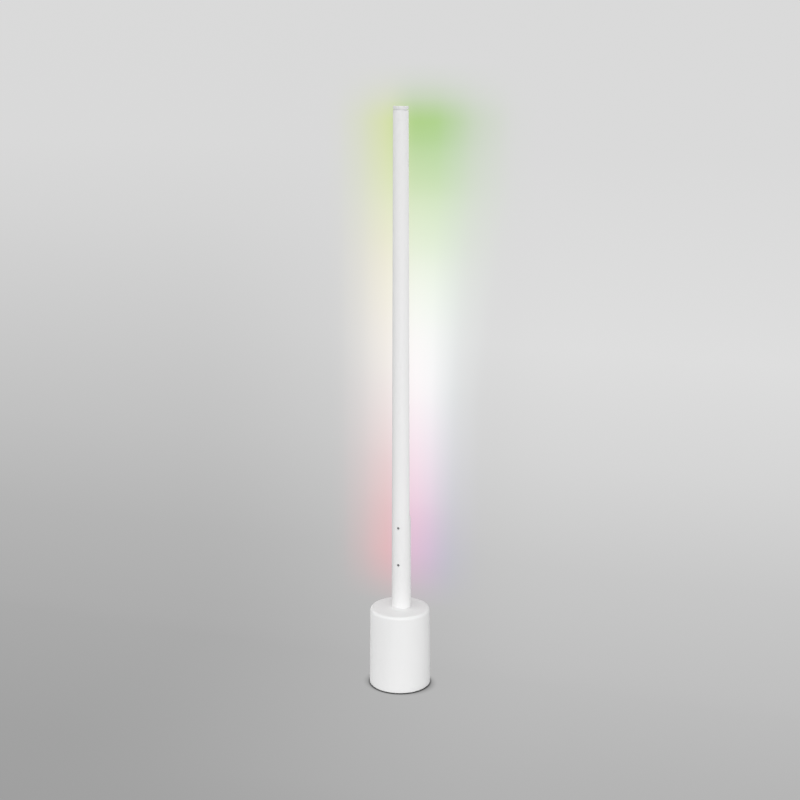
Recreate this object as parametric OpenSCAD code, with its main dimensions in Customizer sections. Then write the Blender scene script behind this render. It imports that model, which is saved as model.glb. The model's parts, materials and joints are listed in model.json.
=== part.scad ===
// Corner floor lamp: a slim tapering light bar on a round stem and a drum base.
// Millimetres, +Z up. The origin is the centre of the underside, the front is -Y,
// and the light leaves the bar towards +Y, into the corner that the lamp stands in.

/* [Overall] */
// Height from the floor to the top of the cap
lamp_h = 1010; // [900:5:1100]
// How far the pole's axis stands behind the base's axis
pole_y = 7; // [0:0.5:12]

/* [Base cover] */
// Diameter of the cover at its bottom edge
base_d = 108; // [104:1:130]
// Height of the cover's top face above the floor
base_h = 142; // [134:1:180]
// How much smaller the cover's radius is at the top than at the bottom
base_draft = 1.5; // [0:0.1:3]
// Thickness of the cover's side wall
base_wall = 2.2; // [1.6:0.1:3]
// Thickness of the cover's top
base_top_t = 4; // [3:0.5:6]
// Radius of the rounding round the top face
base_fillet = 5; // [2:0.5:8]
// Radius of the rounding at the bottom edge
base_lip = 0.8; // [0.4:0.1:1.5]
// Height of the cover's bottom edge above the floor
base_lift = 1.5; // [1:0.1:2.4]

/* [Foot and ballast] */
// Thickness of the rubber pad
pad_t = 2.5; // [2.5:0.1:4]
// How far the pad's edge lies inside the cover's wall
pad_inset = 1.8; // [1:0.1:4]
// Thickness of the steel base plate
plate_t = 2.5; // [2:0.1:4]
// Height of the ballast casting
weight_h = 32; // [24:1:36]
// Radial space between the ballast and the cover's lugs
weight_gap = 1.5; // [1:0.1:3]
// Depth of the cover's three screw lugs, from the wall inwards
lug_depth = 9; // [8:0.5:11]
// Width of a lug
lug_w = 12; // [9:0.5:16]
// Height of a lug
lug_h = 13; // [12:0.5:18]
// Distance of the ballast screws from the base's axis
weight_screw_r = 28; // [22:1:32]

/* [Cord gland] */
// Height of the gland above the floor
gland_z = 22; // [18:0.5:26]
// Radius of the gland's bore, for the cord
gland_bore_r = 2.7; // [2:0.1:3.4]
// Outside radius of the gland's barrel
gland_r = 5.5; // [5:0.1:6]
// Radius of the gland's outside flange
gland_flange_r = 7.3; // [6.8:0.1:8]
// Thickness of the gland's outside flange
gland_flange_t = 1.5; // [1:0.1:2]
// Length of the gland from its outside face inwards
gland_len = 10.4; // [9.5:0.1:13]
// Radius over the corners of the gland's nut
gland_nut_r = 8; // [7:0.1:8.5]
// Thickness of the gland's nut
gland_nut_t = 4; // [3:0.1:4.5]

/* [Mode button] */
// Height of the button above the floor
button_z = 78; // [72:1:84]
// Radius of the button
button_r = 6; // [4.5:0.1:7]
// How far the button stands out of the cover
button_proud = 0.3; // [0.1:0.1:0.4]
// How far the button travels when it is pressed
button_travel = 1.2; // [0.6:0.1:1.5]
// Radius of the collar that keeps the button in
button_collar_r = 7.8; // [7.8:0.1:8.5]
// Thickness of the collar
button_collar_t = 1.4; // [1:0.1:2]
// Length of the button's nub behind the collar
button_nub_l = 1.4; // [1:0.1:2.5]
// Radius of the button's nub
button_nub_r = 2.5; // [2:0.1:3]
// Radius of the cover's inside bosses for the gland and the button
boss_r = 9.5; // [9:0.1:10.5]
// Depth of the bosses' flat faces below the outside surface
boss_depth = 3.7; // [3.5:0.1:4.5]

/* [Control board] */
// Side of the push switch's square housing
switch_w = 6; // [6:0.5:8]
// Height of the push switch's housing
switch_h = 3.5; // [3:0.1:5]
// How far the plunger stands out of the switch
plunger_out = 2; // [1.9:0.1:3]
// Radius of the plunger
plunger_r = 1.7; // [1.2:0.1:2]
// Width of the control board
board_w = 36; // [34:1:37]
// Height of the control board
board_h = 38; // [36:1:42]
// Thickness of every circuit board
pcb_t = 1.6; // [1:0.1:2]
// Length of the pillars that hold the control board
pillar_l = 4; // [3:0.5:6]
// Sheet thickness of the board bracket
bracket_t = 1.5; // [1:0.1:2]
// Length of the bracket's feet
bracket_foot_l = 14; // [12:0.5:15]
// Width of one of the bracket's feet
bracket_foot_w = 8; // [7:0.5:8]

/* [Driver] */
// Width of the driver's case
driver_w = 56; // [50:1:60]
// Depth of the driver's case
driver_d = 34; // [30:1:35]
// Height of the driver's case
driver_h = 68; // [60:1:70]
// Wall of the driver's case
driver_wall = 2; // [1.5:0.1:2.5]
// Thickness of the case's front lid
driver_lid_t = 2; // [1.5:0.1:2.5]
// Place of the case's middle, behind the base's axis
driver_y = -2; // [-4:0.5:-1.5]
// Length of the case's screw ears
ear_l = 9; // [8:0.5:10]
// Width of the case's screw ears
ear_w = 12; // [9:0.5:16]
// Thickness of the case's screw ears
ear_t = 2.5; // [2:0.1:3]

/* [Stem] */
// Radius of the pole where it meets the base
pole_foot_r = 17.1; // [16.6:0.1:18]
// Radius of the pole at the top of the bar
pole_top_r = 13.75; // [13.5:0.05:15]
// Length of the stem, from the base's top to the light bar
stem_l = 164; // [150:1:200]
// Radius of the stem's bore
stem_bore_r = 13.4; // [12.5:0.1:13.6]
// Height of the lower joint screw above the base's top
screw_low = 81; // [72:1:86]
// Height of the upper joint screw above the base's top
screw_high = 149; // [120:1:149]
// Outside radius of the threaded tube that holds the stem down
tube_r = 5; // [4.5:0.1:6]
// Bore radius of the threaded tube
tube_bore_r = 3.2; // [2.6:0.1:3.4]
// Height of the foot plug in the stem
foot_plug_h = 20; // [18:1:30]
// How far the threaded tube screws into the foot plug
tube_grip = 16; // [12:0.5:17]
// Thickness of the tube's nut
tube_nut_t = 8; // [5:0.5:8]
// Thickness of the washer under the cover's top
washer_t = 2; // [1:0.1:2.5]
// Radius of the washer
washer_r = 14; // [12:0.5:18]

/* [Light bar] */
// Place of the bar's flat back, measured from the pole's axis
bar_cut = -2.4; // [-3:0.1:-1.6]
// Wall of the bar
bar_wall = 1.8; // [1.5:0.1:2]
// Depth of the light channel, from the flat back
channel_depth = 6.2; // [6:0.1:6.6]
// Thickness of the web between the light channel and the front chamber
web_t = 1.6; // [1.4:0.1:1.7]
// Thickness of the diffuser
diffuser_t = 1.6; // [1.2:0.1:1.8]
// Width of the rails that the diffuser snaps on
rail_w = 1; // [0.6:0.1:1.2]
// Thickness of the rails
rail_t = 1; // [0.8:0.1:1.2]
// Thickness of the stem cap's rim, which lies on the stem behind the bar
stem_cap_t = 1.5; // [1:0.1:2.5]
// Depth of the stem cap's plug in the stem
stem_cap_plug = 2; // [1:0.1:3]
// Length of the spigot inside the stem
spigot_l = 98; // [96:1:108]
// Length of the spigot's tongue inside the bar
tongue_l = 28; // [26:1:34]
// Radius of the spigot's wire way
wire_way_r = 4; // [3.5:0.1:4.5]
// Radius of the wire's outlet into the light channel
outlet_r = 2.4; // [2:0.1:2.5]
// Width of the light strip
strip_w = 10; // [8:0.5:12]
// Thickness of the light strip
strip_t = 0.8; // [0.4:0.1:1]
// Distance between the light strip's diodes
led_pitch = 16.6; // [10:0.1:33]
// Side of a diode
led_w = 5; // [3:0.1:5.5]
// Height of a diode
led_h = 1.6; // [0.8:0.1:1.6]
// Height of the plug connector below the strip
connector_l = 10; // [8:0.5:14]

/* [Top cap] */
// Height of the cap's visible head
cap_head_h = 5; // [3:0.1:8]
// Height of the shadow groove under the head
cap_groove_h = 1.5; // [0.8:0.1:2]
// Depth of the shadow groove
cap_groove_d = 0.8; // [0.4:0.1:1.2]
// Radius of the rounding on the cap's top edge
cap_round = 0.9; // [0.3:0.1:1.5]
// Length of the cap's plug in the light channel
cap_plug_l = 7; // [4:0.5:12]

/* [Fasteners and wires] */
// Shank radius of the large machine screws
screw_r = 1.5; // [1.2:0.1:1.6]
// Head radius of the large machine screws
head_r = 2.75; // [2.5:0.05:2.9]
// Head radius of the joint screws
joint_head_r = 2.1; // [1.9:0.05:2.5]
// Head height of the joint screws
joint_head_h = 1.6; // [1.2:0.1:1.7]
// Depth of the joint screws' heads below the stem's surface
head_sink = 0.3; // [0.1:0.05:0.4]
// Length of the joint screws below their heads
joint_screw_l = 6; // [5:0.5:7]
// Shank radius of the small screws in the board, the joint and the bar
small_screw_r = 1.2; // [1:0.05:1.3]
// Head radius of the small screws
small_head_r = 2.2; // [2:0.05:2.4]
// Radius of the wire loom that runs up the pole
loom_r = 1.25; // [1:0.05:1.4]
// Radius of the single supply wires
supply_wire_r = 1; // [0.7:0.05:1.2]

/* [Clearances] */
// Radial clearance of a plug or barrel in its bore
fit_gap = 0.1; // [0.05:0.01:0.15]
// Clearance round a piece that is dropped into place
drop_gap = 0.25; // [0.15:0.05:0.4]
// Clearance round the moving button and plunger
run_gap = 0.3; // [0.2:0.05:0.4]

/* [Hidden] */
$fn = 72;

eps = 0.01;      // keeps cutting tools clear of the faces that they cut
reach = 4 * base_d; // larger than any cross-section

// Finishes, as the photograph shows them or as such pieces are made
white_paint = [0.93, 0.93, 0.92];
white_plastic = [0.9, 0.9, 0.89];
opal = [0.97, 0.96, 0.94];
rubber = [0.12, 0.12, 0.13];
zinc = [0.72, 0.73, 0.75];
dark_steel = [0.35, 0.35, 0.37];
cast_iron = [0.3, 0.3, 0.31];
aluminium = [0.8, 0.81, 0.82];
board_green = [0.08, 0.35, 0.2];
black_plastic = [0.08, 0.08, 0.09];
grey_plastic = [0.55, 0.56, 0.58];
wire_white = [0.88, 0.88, 0.86];

// Heights
plate_top = pad_t + plate_t;
weight_top = plate_top + weight_h;
cover_in_top = base_h - base_top_t;
joint_z = base_h + stem_l;
cap_z = lamp_h - cap_head_h - cap_groove_h;
tongue_top = joint_z + tongue_l;

// The cover's wall leans in by base_draft over its height
function cover_r(z) = base_d / 2 - base_draft * (z - base_lift) / (base_h - base_lift);
cover_in_r = cover_r(plate_top) - base_wall;
plate_r = cover_r(pad_t) - base_wall - drop_gap;
lug_r = cover_in_r - lug_depth / 2;
weight_r = cover_in_r - lug_depth - weight_gap;

// The pole tapers evenly from the base to the cap
function pole_r(z) = pole_foot_r + (pole_top_r - pole_foot_r) * (z - base_h) / (cap_z - base_h);

// Gland, from its outside face inwards along Y
gland_face_y = cover_r(gland_z);
gland_seat_y = gland_face_y - gland_flange_t;
gland_boss_y = gland_face_y - boss_depth;
gland_end_y = gland_face_y - gland_len;
notch_y = gland_end_y - 3 * gland_bore_r;

// Button, switch and control board, from the outside inwards along Y
button_face_y = cover_r(button_z) + button_proud;
button_boss_y = cover_r(button_z) - boss_depth;
collar_y = button_boss_y - fit_gap;
nub_y = collar_y - button_collar_t;
plunger_y = nub_y - button_nub_l;
switch_y = plunger_y - plunger_out;
board_y = switch_y - switch_h;
bracket_y = board_y - pcb_t - pillar_l;
board_z = button_z - board_h / 2;
switch_floor = 0.6;
plunger_l = plunger_out + switch_h - switch_floor - button_travel - run_gap;
bracket_w = board_w + 4;
pillar_r = small_head_r + 0.2;
board_hole_x = board_w / 2 - 3.5;
board_hole_z = board_h / 2 - 3.5;
foot_screw_x = bracket_w / 2 - bracket_foot_w / 2;
foot_screw_y = bracket_y - bracket_foot_l / 2 - bracket_t / 2;

// Sizes of the parts soldered to the control board
header_h = 6;
header_d = 5;
header_x = 8;
header_z = board_z + board_h - header_h;
radio_w = 18;
radio_h = 9;
radio_t = 2.6;
radio_z = board_z + 2;

// Terminal block, between the bracket's feet
terminal_w = 18;
terminal_d = 12;
terminal_h = 12;
terminal_screw_r = 2;
terminal_wire_r = 1.5;
terminal_y = bracket_y - bracket_t - fit_gap - terminal_d;

// Driver
driver_back = driver_y + driver_d / 2;
driver_front = driver_y - driver_d / 2;
driver_top = weight_top + driver_h;
ear_x = driver_w / 2 + ear_l / 2;
driver_pcb_w = driver_w - 2 * driver_wall - 2 * drop_gap;
driver_pcb_h = driver_h - 2 * driver_wall - 2 * drop_gap;
driver_rib = 3;
driver_pcb_y = driver_back - driver_wall - driver_rib;
driver_hole_r = 3;
lead_hole_z = weight_top + 24;
screw_bite = 8;

// Stem joint
tube_tail = 3;
tube_low = cover_in_top - washer_t - tube_nut_t - tube_tail;
spigot_low = joint_z - spigot_l;
outlet_y = bar_cut - channel_depth + outlet_r;
slot_roof = 5;
slot_h = 11.5;
slot_high = joint_z - slot_roof;
slot_low = slot_high - slot_h;
// the outlet starts above the upper screw's hole
outlet_low = slot_high - 6;
screw_heights = [base_h + screw_low, base_h + screw_high];
tapped_depth = 6.5;

// Light bar, along Y from the pole's axis
channel_floor = bar_cut - channel_depth;
chamber_y = channel_floor - web_t;
diffuser_in = bar_cut - diffuser_t;
rail_y = diffuser_in - fit_gap;
bar_screw_z = [joint_z + 8, joint_z + tongue_l - 8];
connector_z = tongue_top - 2;
connector_t = 3.6;
strip_low = connector_z + connector_l;
strip_high = cap_z - cap_plug_l - 1;
// the strip is cut halfway between two diodes
led_start = strip_low + led_pitch / 2;
led_count = floor((strip_high - strip_low) / led_pitch);

// ---------- shared shapes ----------

// Points of an arc in the plane of a profile
function arc(centre, r, from, to, steps) =
    [for (i = [0:steps]) let (a = from + (to - from) * i / steps)
        centre + r * [cos(a), sin(a)]];

// A cylinder that runs along +Y from y, about the point (x, z)
module rod_y(x, y, z, r, l) {
    translate([x, y, z]) rotate([-90, 0, 0]) cylinder(r = r, h = l);
}

// A cone of the pole's own taper, inset all round, between two heights
module pole_cone(low, high, inset = 0) {
    translate([0, pole_y, low])
        cylinder(r1 = pole_r(low) - inset, r2 = pole_r(high) - inset, h = high - low);
}

// A slab of the pole between two distances behind its axis
module pole_slab(low, high, y1, y2) {
    translate([-reach / 2, pole_y + y1, low]) cube([reach, y2 - y1, high - low]);
}

// Countersunk screw that points up, with its flat head face at z = 0
module flat_screw(r, l, big_r) {
    cylinder(r1 = big_r, r2 = r, h = big_r - r);
    cylinder(r = r, h = l);
}

// The hole for a countersunk screw, opened by the clearance
module flat_screw_hole(r, l, big_r) {
    translate([0, 0, -eps])
        cylinder(r1 = big_r + fit_gap + eps, r2 = r + fit_gap, h = big_r - r + eps);
    translate([0, 0, -eps]) cylinder(r = r + fit_gap, h = l + 2 * eps);
}

// Pan screw that points down, with its head seated at z = 0
module pan_screw(r, l, big_r) {
    translate([0, 0, -l]) cylinder(r = r, h = l);
    difference() {
        cylinder(r = big_r, h = r);
        translate([0, 0, r * 0.4]) cylinder(r = r * 0.7, h = r, $fn = 6);
    }
}

// Places its children three times round the base's axis
module three_times(first) {
    for (i = [0:2]) rotate([0, 0, first + 120 * i]) children();
}

// Quadratic bends through a list of control points, from end to end
function bend(a, b, c, n) =
    [for (k = [0:n - 1]) let (t = k / n) pow(1 - t, 2) * a + 2 * t * (1 - t) * b + t * t * c];
function route(p, n) = concat(
    [for (i = [1:len(p) - 2]) each bend(
        i == 1 ? p[0] : (p[i - 1] + p[i]) / 2, p[i],
        i == len(p) - 2 ? p[i + 1] : (p[i] + p[i + 1]) / 2, n)],
    [p[len(p) - 1]]);

// A round wire that lies in one upright plane at x, through points of [y, z]
module wire(x, points, r, sides = 8) {
    path = route(points, 5);
    end = len(path) - 1;
    tail = len(points) - 1;
    // directions along the wire; both ends leave square to what they meet
    ways = concat([points[1] - points[0]], [for (i = [1:end - 1]) path[i + 1] - path[i - 1]],
        [points[tail] - points[tail - 1]]);
    rings = [for (i = [0:end], s = [0:sides - 1])
        let (t = ways[i] / norm(ways[i]), a = 360 * s / sides)
        [x + r * cos(a), path[i][0] - r * sin(a) * t[1], path[i][1] + r * sin(a) * t[0]]];
    last = end * sides;
    skin = [for (i = [0:end - 1], s = [0:sides - 1])
        let (a = i * sides + s, b = i * sides + (s + 1) % sides)
        [a, a + sides, b + sides, b]];
    polyhedron(rings, concat(skin, [[for (s = [0:sides - 1]) s]],
        [[for (s = [sides - 1:-1:0]) last + s]]));
}

// ---------- base ----------

// The rubber pad that the lamp stands on
module foot_pad() {
    color(rubber) cylinder(r = plate_r + drop_gap - pad_inset, h = pad_t);
}

// Steel plate that closes the base and carries the ballast
module base_plate() {
    color(zinc) difference() {
        translate([0, 0, pad_t]) cylinder(r = plate_r, h = plate_t);
        three_times(30) translate([lug_r, 0, pad_t]) flat_screw_hole(screw_r, plate_t, head_r);
        three_times(90) translate([weight_screw_r, 0, pad_t])
            flat_screw_hole(screw_r, plate_t, head_r);
    }
}

// Three countersunk screws through the plate into the cover's lugs
module plate_screws() {
    color(zinc) three_times(30) translate([lug_r, 0, pad_t])
        flat_screw(screw_r, plate_t + screw_bite, head_r);
}

// Ballast casting that keeps the tall lamp upright
module base_weight() {
    color(cast_iron) difference() {
        translate([0, 0, plate_top]) cylinder(r = weight_r, h = weight_h);
        // notch at the back, for the gland's nut and the cord's bend
        translate([-gland_nut_r - weight_gap, notch_y, plate_top - eps])
            cube([2 * (gland_nut_r + weight_gap), reach, weight_h + 2 * eps]);
        three_times(90) translate([weight_screw_r, 0, plate_top - eps])
            cylinder(r = screw_r + fit_gap, h = screw_bite + 1);
        for (x = [-ear_x, ear_x]) translate([x, driver_y, weight_top - screw_bite])
            cylinder(r = screw_r + fit_gap, h = screw_bite + eps);
        for (x = [-foot_screw_x, foot_screw_x])
            translate([x, foot_screw_y, weight_top - screw_bite])
                cylinder(r = small_screw_r + fit_gap, h = screw_bite + eps);
    }
}

// Three countersunk screws through the plate into the ballast
module weight_screws() {
    color(zinc) three_times(90) translate([weight_screw_r, 0, pad_t])
        flat_screw(screw_r, plate_t + screw_bite, head_r);
}

// The cover's outside as one turned solid
module cover_outside() {
    rotate_extrude() polygon(concat(
        [[0, base_lift]],
        arc([cover_r(base_lift) - base_lip, base_lift + base_lip], base_lip, -90, 0, 4),
        arc([cover_r(base_h) - base_fillet, base_h - base_fillet], base_fillet, 0, 90, 10),
        [[0, base_h]]));
}

// The cover's hollow, which follows the wall's lean
module cover_hollow() {
    inner = max(base_fillet - base_wall, 0.5);
    rotate_extrude() polygon(concat(
        [[0, base_lift - eps], [cover_r(base_lift) - base_wall, base_lift - eps]],
        arc([cover_r(base_h) - base_wall - inner, cover_in_top - inner], inner, 0, 90, 6),
        [[0, cover_in_top]]));
}

// Painted drum cover with its lugs and bosses
module base_cover() {
    color(white_paint) difference() {
        union() {
            difference() {
                cover_outside();
                cover_hollow();
            }
            intersection() {
                cover_outside();
                union() {
                    three_times(30) translate([cover_in_r - lug_depth, -lug_w / 2, plate_top])
                        cube([lug_depth + base_wall / 2, lug_w, lug_h]);
                    rod_y(0, gland_boss_y, gland_z, boss_r, boss_depth - base_wall / 2);
                    rod_y(0, button_boss_y, button_z, boss_r, boss_depth - base_wall / 2);
                }
            }
        }
        three_times(30) translate([lug_r, 0, plate_top - eps])
            cylinder(r = screw_r + fit_gap, h = screw_bite + 1);
        rod_y(0, gland_boss_y - eps, gland_z, gland_r + fit_gap, reach);
        rod_y(0, gland_seat_y, gland_z, gland_flange_r + fit_gap, reach);
        rod_y(0, button_boss_y - eps, button_z, button_r + run_gap, reach);
        translate([0, pole_y, cover_in_top - eps])
            cylinder(r = tube_r + drop_gap, h = base_top_t + 2 * eps);
    }
}

// Gland for the supply cord, let into the back of the cover
module cord_gland() {
    color(black_plastic) difference() {
        union() {
            rod_y(0, gland_end_y, gland_z, gland_r, gland_len);
            rod_y(0, gland_seat_y, gland_z, gland_flange_r, gland_flange_t);
        }
        rod_y(0, gland_end_y - eps, gland_z, gland_bore_r, gland_len + 2 * eps);
    }
}

// Nut that pulls the gland's flange against the cover
module gland_nut() {
    color(black_plastic) difference() {
        translate([0, gland_boss_y - gland_nut_t, gland_z]) rotate([-90, 0, 0])
            cylinder(r = gland_nut_r, h = gland_nut_t, $fn = 6);
        rod_y(0, gland_boss_y - gland_nut_t - eps, gland_z, gland_r + fit_gap / 2,
            gland_nut_t + 2 * eps);
    }
}

// Terminal block that takes the cord's two wires
module terminal_block() {
    color(white_plastic) difference() {
        translate([-terminal_w / 2, terminal_y, weight_top])
            cube([terminal_w, terminal_d, terminal_h]);
        for (x = [-terminal_w / 4, terminal_w / 4]) {
            translate([x, terminal_y + terminal_d * 0.7, weight_top + terminal_h / 2])
                cylinder(r = terminal_screw_r, h = terminal_h);
            rod_y(x, terminal_y + terminal_d / 2, weight_top + terminal_h / 3, terminal_wire_r,
                terminal_d);
        }
    }
}

// Two wires from the terminal block into the driver
module supply_wires() {
    start_y = terminal_y + supply_wire_r + 1;
    start_z = weight_top + terminal_h;
    color(wire_white) for (x = [-terminal_w / 4, terminal_w / 4])
        wire(x, [[start_y, start_z], [start_y, start_z + 6], [start_y - 2, lead_hole_z],
            [driver_back - driver_wall - 1, lead_hole_z]], supply_wire_r);
}

// ---------- driver ----------

// Case of the built-in driver, open at the front
module driver_case() {
    color(grey_plastic) difference() {
        union() {
            translate([-driver_w / 2, driver_front, weight_top])
                cube([driver_w, driver_d, driver_h]);
            translate([-driver_w / 2 - ear_l, driver_y - ear_w / 2, weight_top])
                cube([driver_w + 2 * ear_l, ear_w, ear_t]);
        }
        difference() {
            translate([-driver_w / 2 + driver_wall, driver_front - eps, weight_top + driver_wall])
                cube([driver_w - 2 * driver_wall, driver_d - driver_wall,
                    driver_h - 2 * driver_wall]);
            // two upright ribs that carry the circuit board
            for (x = [-driver_w / 4, driver_w / 4])
                translate([x - driver_wall / 2, driver_pcb_y, weight_top])
                    cube([driver_wall, driver_d, driver_h]);
        }
        for (x = [-ear_x, ear_x]) translate([x, driver_y, weight_top - eps])
            cylinder(r = screw_r + fit_gap, h = ear_t + 2 * eps);
        for (x = [-terminal_w / 4, terminal_w / 4])
            rod_y(x, driver_back - driver_wall - eps, lead_hole_z, supply_wire_r + drop_gap,
                driver_wall + 2 * eps);
        translate([header_x, driver_y, driver_top - driver_wall - eps])
            cylinder(r = loom_r + drop_gap, h = driver_wall + 2 * eps);
    }
}

// Lid that snaps into the front of the driver's case
module driver_lid() {
    color(grey_plastic) translate([-driver_w / 2 + driver_wall + fit_gap, driver_front,
        weight_top + driver_wall + fit_gap])
        cube([driver_w - 2 * driver_wall - 2 * fit_gap, driver_lid_t,
            driver_h - 2 * driver_wall - 2 * fit_gap]);
}

// Circuit board of the driver, upright against the case's ribs
module driver_board() {
    color(board_green) translate([-driver_pcb_w / 2, driver_pcb_y - pcb_t,
        weight_top + driver_wall + drop_gap])
        cube([driver_pcb_w, pcb_t, driver_pcb_h]);
}

// Transformer, capacitors and switching parts on the driver's board
module driver_parts() {
    face_y = driver_pcb_y - pcb_t;
    low = weight_top + driver_wall + drop_gap;
    color(black_plastic) {
        translate([-12, face_y - 16, low + driver_pcb_h / 2 - 11]) cube([24, 16, 22]);
        for (x = [-15, 15]) rod_y(x, face_y - 14, low + driver_pcb_h - 10, 6, 14);
        rod_y(0, face_y - 10, low + 9, 5, 10);
        for (x = [-20, 14]) translate([x, face_y - 5, low + 4]) cube([6, 5, 10]);
    }
}

// Two screws that hold the driver's ears down on the ballast
module driver_screws() {
    color(zinc) for (x = [-ear_x, ear_x]) translate([x, driver_y, weight_top + ear_t])
        pan_screw(screw_r, ear_t + screw_bite - 1, head_r);
}

// ---------- control board and button ----------

// Sheet-metal bracket that stands on the ballast and holds the control board
module board_bracket() {
    plate_h = board_z + board_h - weight_top;
    color(zinc) difference() {
        union() {
            translate([-bracket_w / 2, bracket_y - bracket_t, weight_top])
                cube([bracket_w, bracket_t, plate_h]);
            for (x = [-bracket_w / 2, bracket_w / 2 - bracket_foot_w])
                translate([x, bracket_y - bracket_foot_l, weight_top])
                    cube([bracket_foot_w, bracket_foot_l, bracket_t]);
            for (x = [-board_hole_x, board_hole_x], z = [-board_hole_z, board_hole_z])
                rod_y(x, bracket_y - eps, button_z + z, pillar_r, pillar_l + eps);
        }
        // window between the feet, for the cord's wires
        translate([-bracket_w / 2 + bracket_foot_w, bracket_y - bracket_t - eps, weight_top - eps])
            cube([bracket_w - 2 * bracket_foot_w, bracket_t + 2 * eps,
                board_z - weight_top - eps]);
        for (x = [-foot_screw_x, foot_screw_x]) translate([x, foot_screw_y, weight_top - eps])
            cylinder(r = small_screw_r + fit_gap, h = bracket_t + 2 * eps);
        for (x = [-board_hole_x, board_hole_x], z = [-board_hole_z, board_hole_z])
            rod_y(x, bracket_y - bracket_t - eps, button_z + z, small_screw_r + fit_gap,
                bracket_t + pillar_l + 2 * eps);
    }
}

// Two screws through the bracket's feet into the ballast
module bracket_screws() {
    color(zinc) for (x = [-foot_screw_x, foot_screw_x])
        translate([x, foot_screw_y, weight_top + bracket_t])
            pan_screw(small_screw_r, bracket_t + screw_bite - 1, small_head_r);
}

// Circuit board that mixes the light's colours, upright behind the button
module control_board() {
    color(board_green) difference() {
        translate([-board_w / 2, board_y - pcb_t, board_z]) cube([board_w, pcb_t, board_h]);
        for (x = [-board_hole_x, board_hole_x], z = [-board_hole_z, board_hole_z])
            rod_y(x, board_y - pcb_t - eps, button_z + z, small_screw_r + fit_gap,
                pcb_t + 2 * eps);
    }
}

// Wire headers and power transistors on the control board
module board_parts() {
    color(black_plastic) {
        for (x = [0, header_x]) translate([x - 3.5, board_y, header_z])
            cube([7, header_d, header_h]);
        for (x = [-14, -10.5, 10.5]) translate([x - 1.25, board_y, button_z - 6])
            cube([2.5, 1.5, 5]);
    }
}

// Radio module on the control board, with its shield can
module radio_module() {
    color(zinc) {
        translate([-radio_w / 2, board_y, radio_z]) cube([radio_w, 0.8, radio_h]);
        translate([-radio_w / 2 + 1, board_y + 0.8, radio_z + 1])
            cube([radio_w * 0.6, radio_t - 0.8, radio_h - 2]);
    }
}

// Four screws that hold the control board on the bracket's pillars
module board_screws() {
    color(zinc) for (x = [-board_hole_x, board_hole_x], z = [-board_hole_z, board_hole_z])
        translate([x, board_y, button_z + z]) rotate([-90, 0, 0])
            pan_screw(small_screw_r, pcb_t + pillar_l, small_head_r);
}

// Housing of the push switch, with a blind bore for its plunger
module switch_housing() {
    color(black_plastic) difference() {
        translate([-switch_w / 2, board_y, button_z - switch_w / 2])
            cube([switch_w, switch_h, switch_w]);
        rod_y(0, board_y + switch_floor, button_z, plunger_r + run_gap, switch_h);
    }
}

// Plunger of the push switch, which travels with the button
module switch_plunger() {
    color(white_plastic) rod_y(0, plunger_y - plunger_l, button_z, plunger_r, plunger_l);
}

// Mode button in the back of the cover, kept in by its collar
module mode_button() {
    edge = 0.5;
    barrel_l = button_face_y - collar_y;
    color(white_plastic) {
        rod_y(0, plunger_y, button_z, button_nub_r, button_nub_l);
        rod_y(0, nub_y, button_z, button_collar_r, button_collar_t);
        translate([0, collar_y, button_z]) rotate([-90, 0, 0]) rotate_extrude()
            polygon(concat([[0, 0], [button_r, 0]],
                arc([button_r - edge, barrel_l - edge], edge, 0, 90, 4), [[0, barrel_l]]));
    }
}

// Lead from the driver's top to the control board
module driver_lead() {
    lead_y = board_y + header_d / 2;
    high = header_z + header_h;
    color(black_plastic) wire(header_x, [[lead_y, high], [lead_y, high + 7],
        [board_y - 8, high + 14], [board_y - 22, high + 15], [driver_y, high + 14],
        [driver_y, driver_top + 4], [driver_y, driver_top - driver_wall - 1]], loom_r);
}

// ---------- stem ----------

// Hollow threaded tube that clamps the stem to the cover and leads the wires up
module threaded_tube() {
    color(zinc) translate([0, pole_y, tube_low]) difference() {
        cylinder(r = tube_r, h = base_h + tube_grip - tube_low);
        translate([0, 0, -eps])
            cylinder(r = tube_bore_r, h = base_h + tube_grip - tube_low + 2 * eps);
    }
}

// Washer under the cover's top
module tube_washer() {
    color(zinc) translate([0, pole_y, cover_in_top - washer_t]) difference() {
        cylinder(r = washer_r, h = washer_t);
        translate([0, 0, -eps]) cylinder(r = tube_r + drop_gap, h = washer_t + 2 * eps);
    }
}

// Hexagon nut on the threaded tube
module tube_nut() {
    color(zinc) translate([0, pole_y, cover_in_top - washer_t - tube_nut_t]) difference() {
        cylinder(r = tube_r * 1.85, h = tube_nut_t, $fn = 6);
        translate([0, 0, -eps]) cylinder(r = tube_r + fit_gap / 2, h = tube_nut_t + 2 * eps);
    }
}

// Turned plug in the stem's foot, tapped for the threaded tube
module stem_foot() {
    color(aluminium) translate([0, pole_y, base_h]) difference() {
        cylinder(r = stem_bore_r - fit_gap, h = foot_plug_h);
        translate([0, 0, -eps]) cylinder(r = tube_r + fit_gap / 2, h = tube_grip + drop_gap);
        cylinder(r = tube_bore_r + fit_gap, h = foot_plug_h + eps);
    }
}

// Painted round stem, with two sunk screws in its front
module stem_tube() {
    color(white_paint) difference() {
        pole_cone(base_h, joint_z);
        translate([0, pole_y, base_h - eps]) cylinder(r = stem_bore_r, h = stem_l + 2 * eps);
        for (z = screw_heights) {
            rod_y(0, pole_y - reach, z, joint_head_r + fit_gap,
                reach - pole_r(z) + joint_head_h + head_sink);
            rod_y(0, pole_y - stem_bore_r - reach / 2, z, small_screw_r + fit_gap,
                reach / 2 + 1);
        }
    }
}

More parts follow.
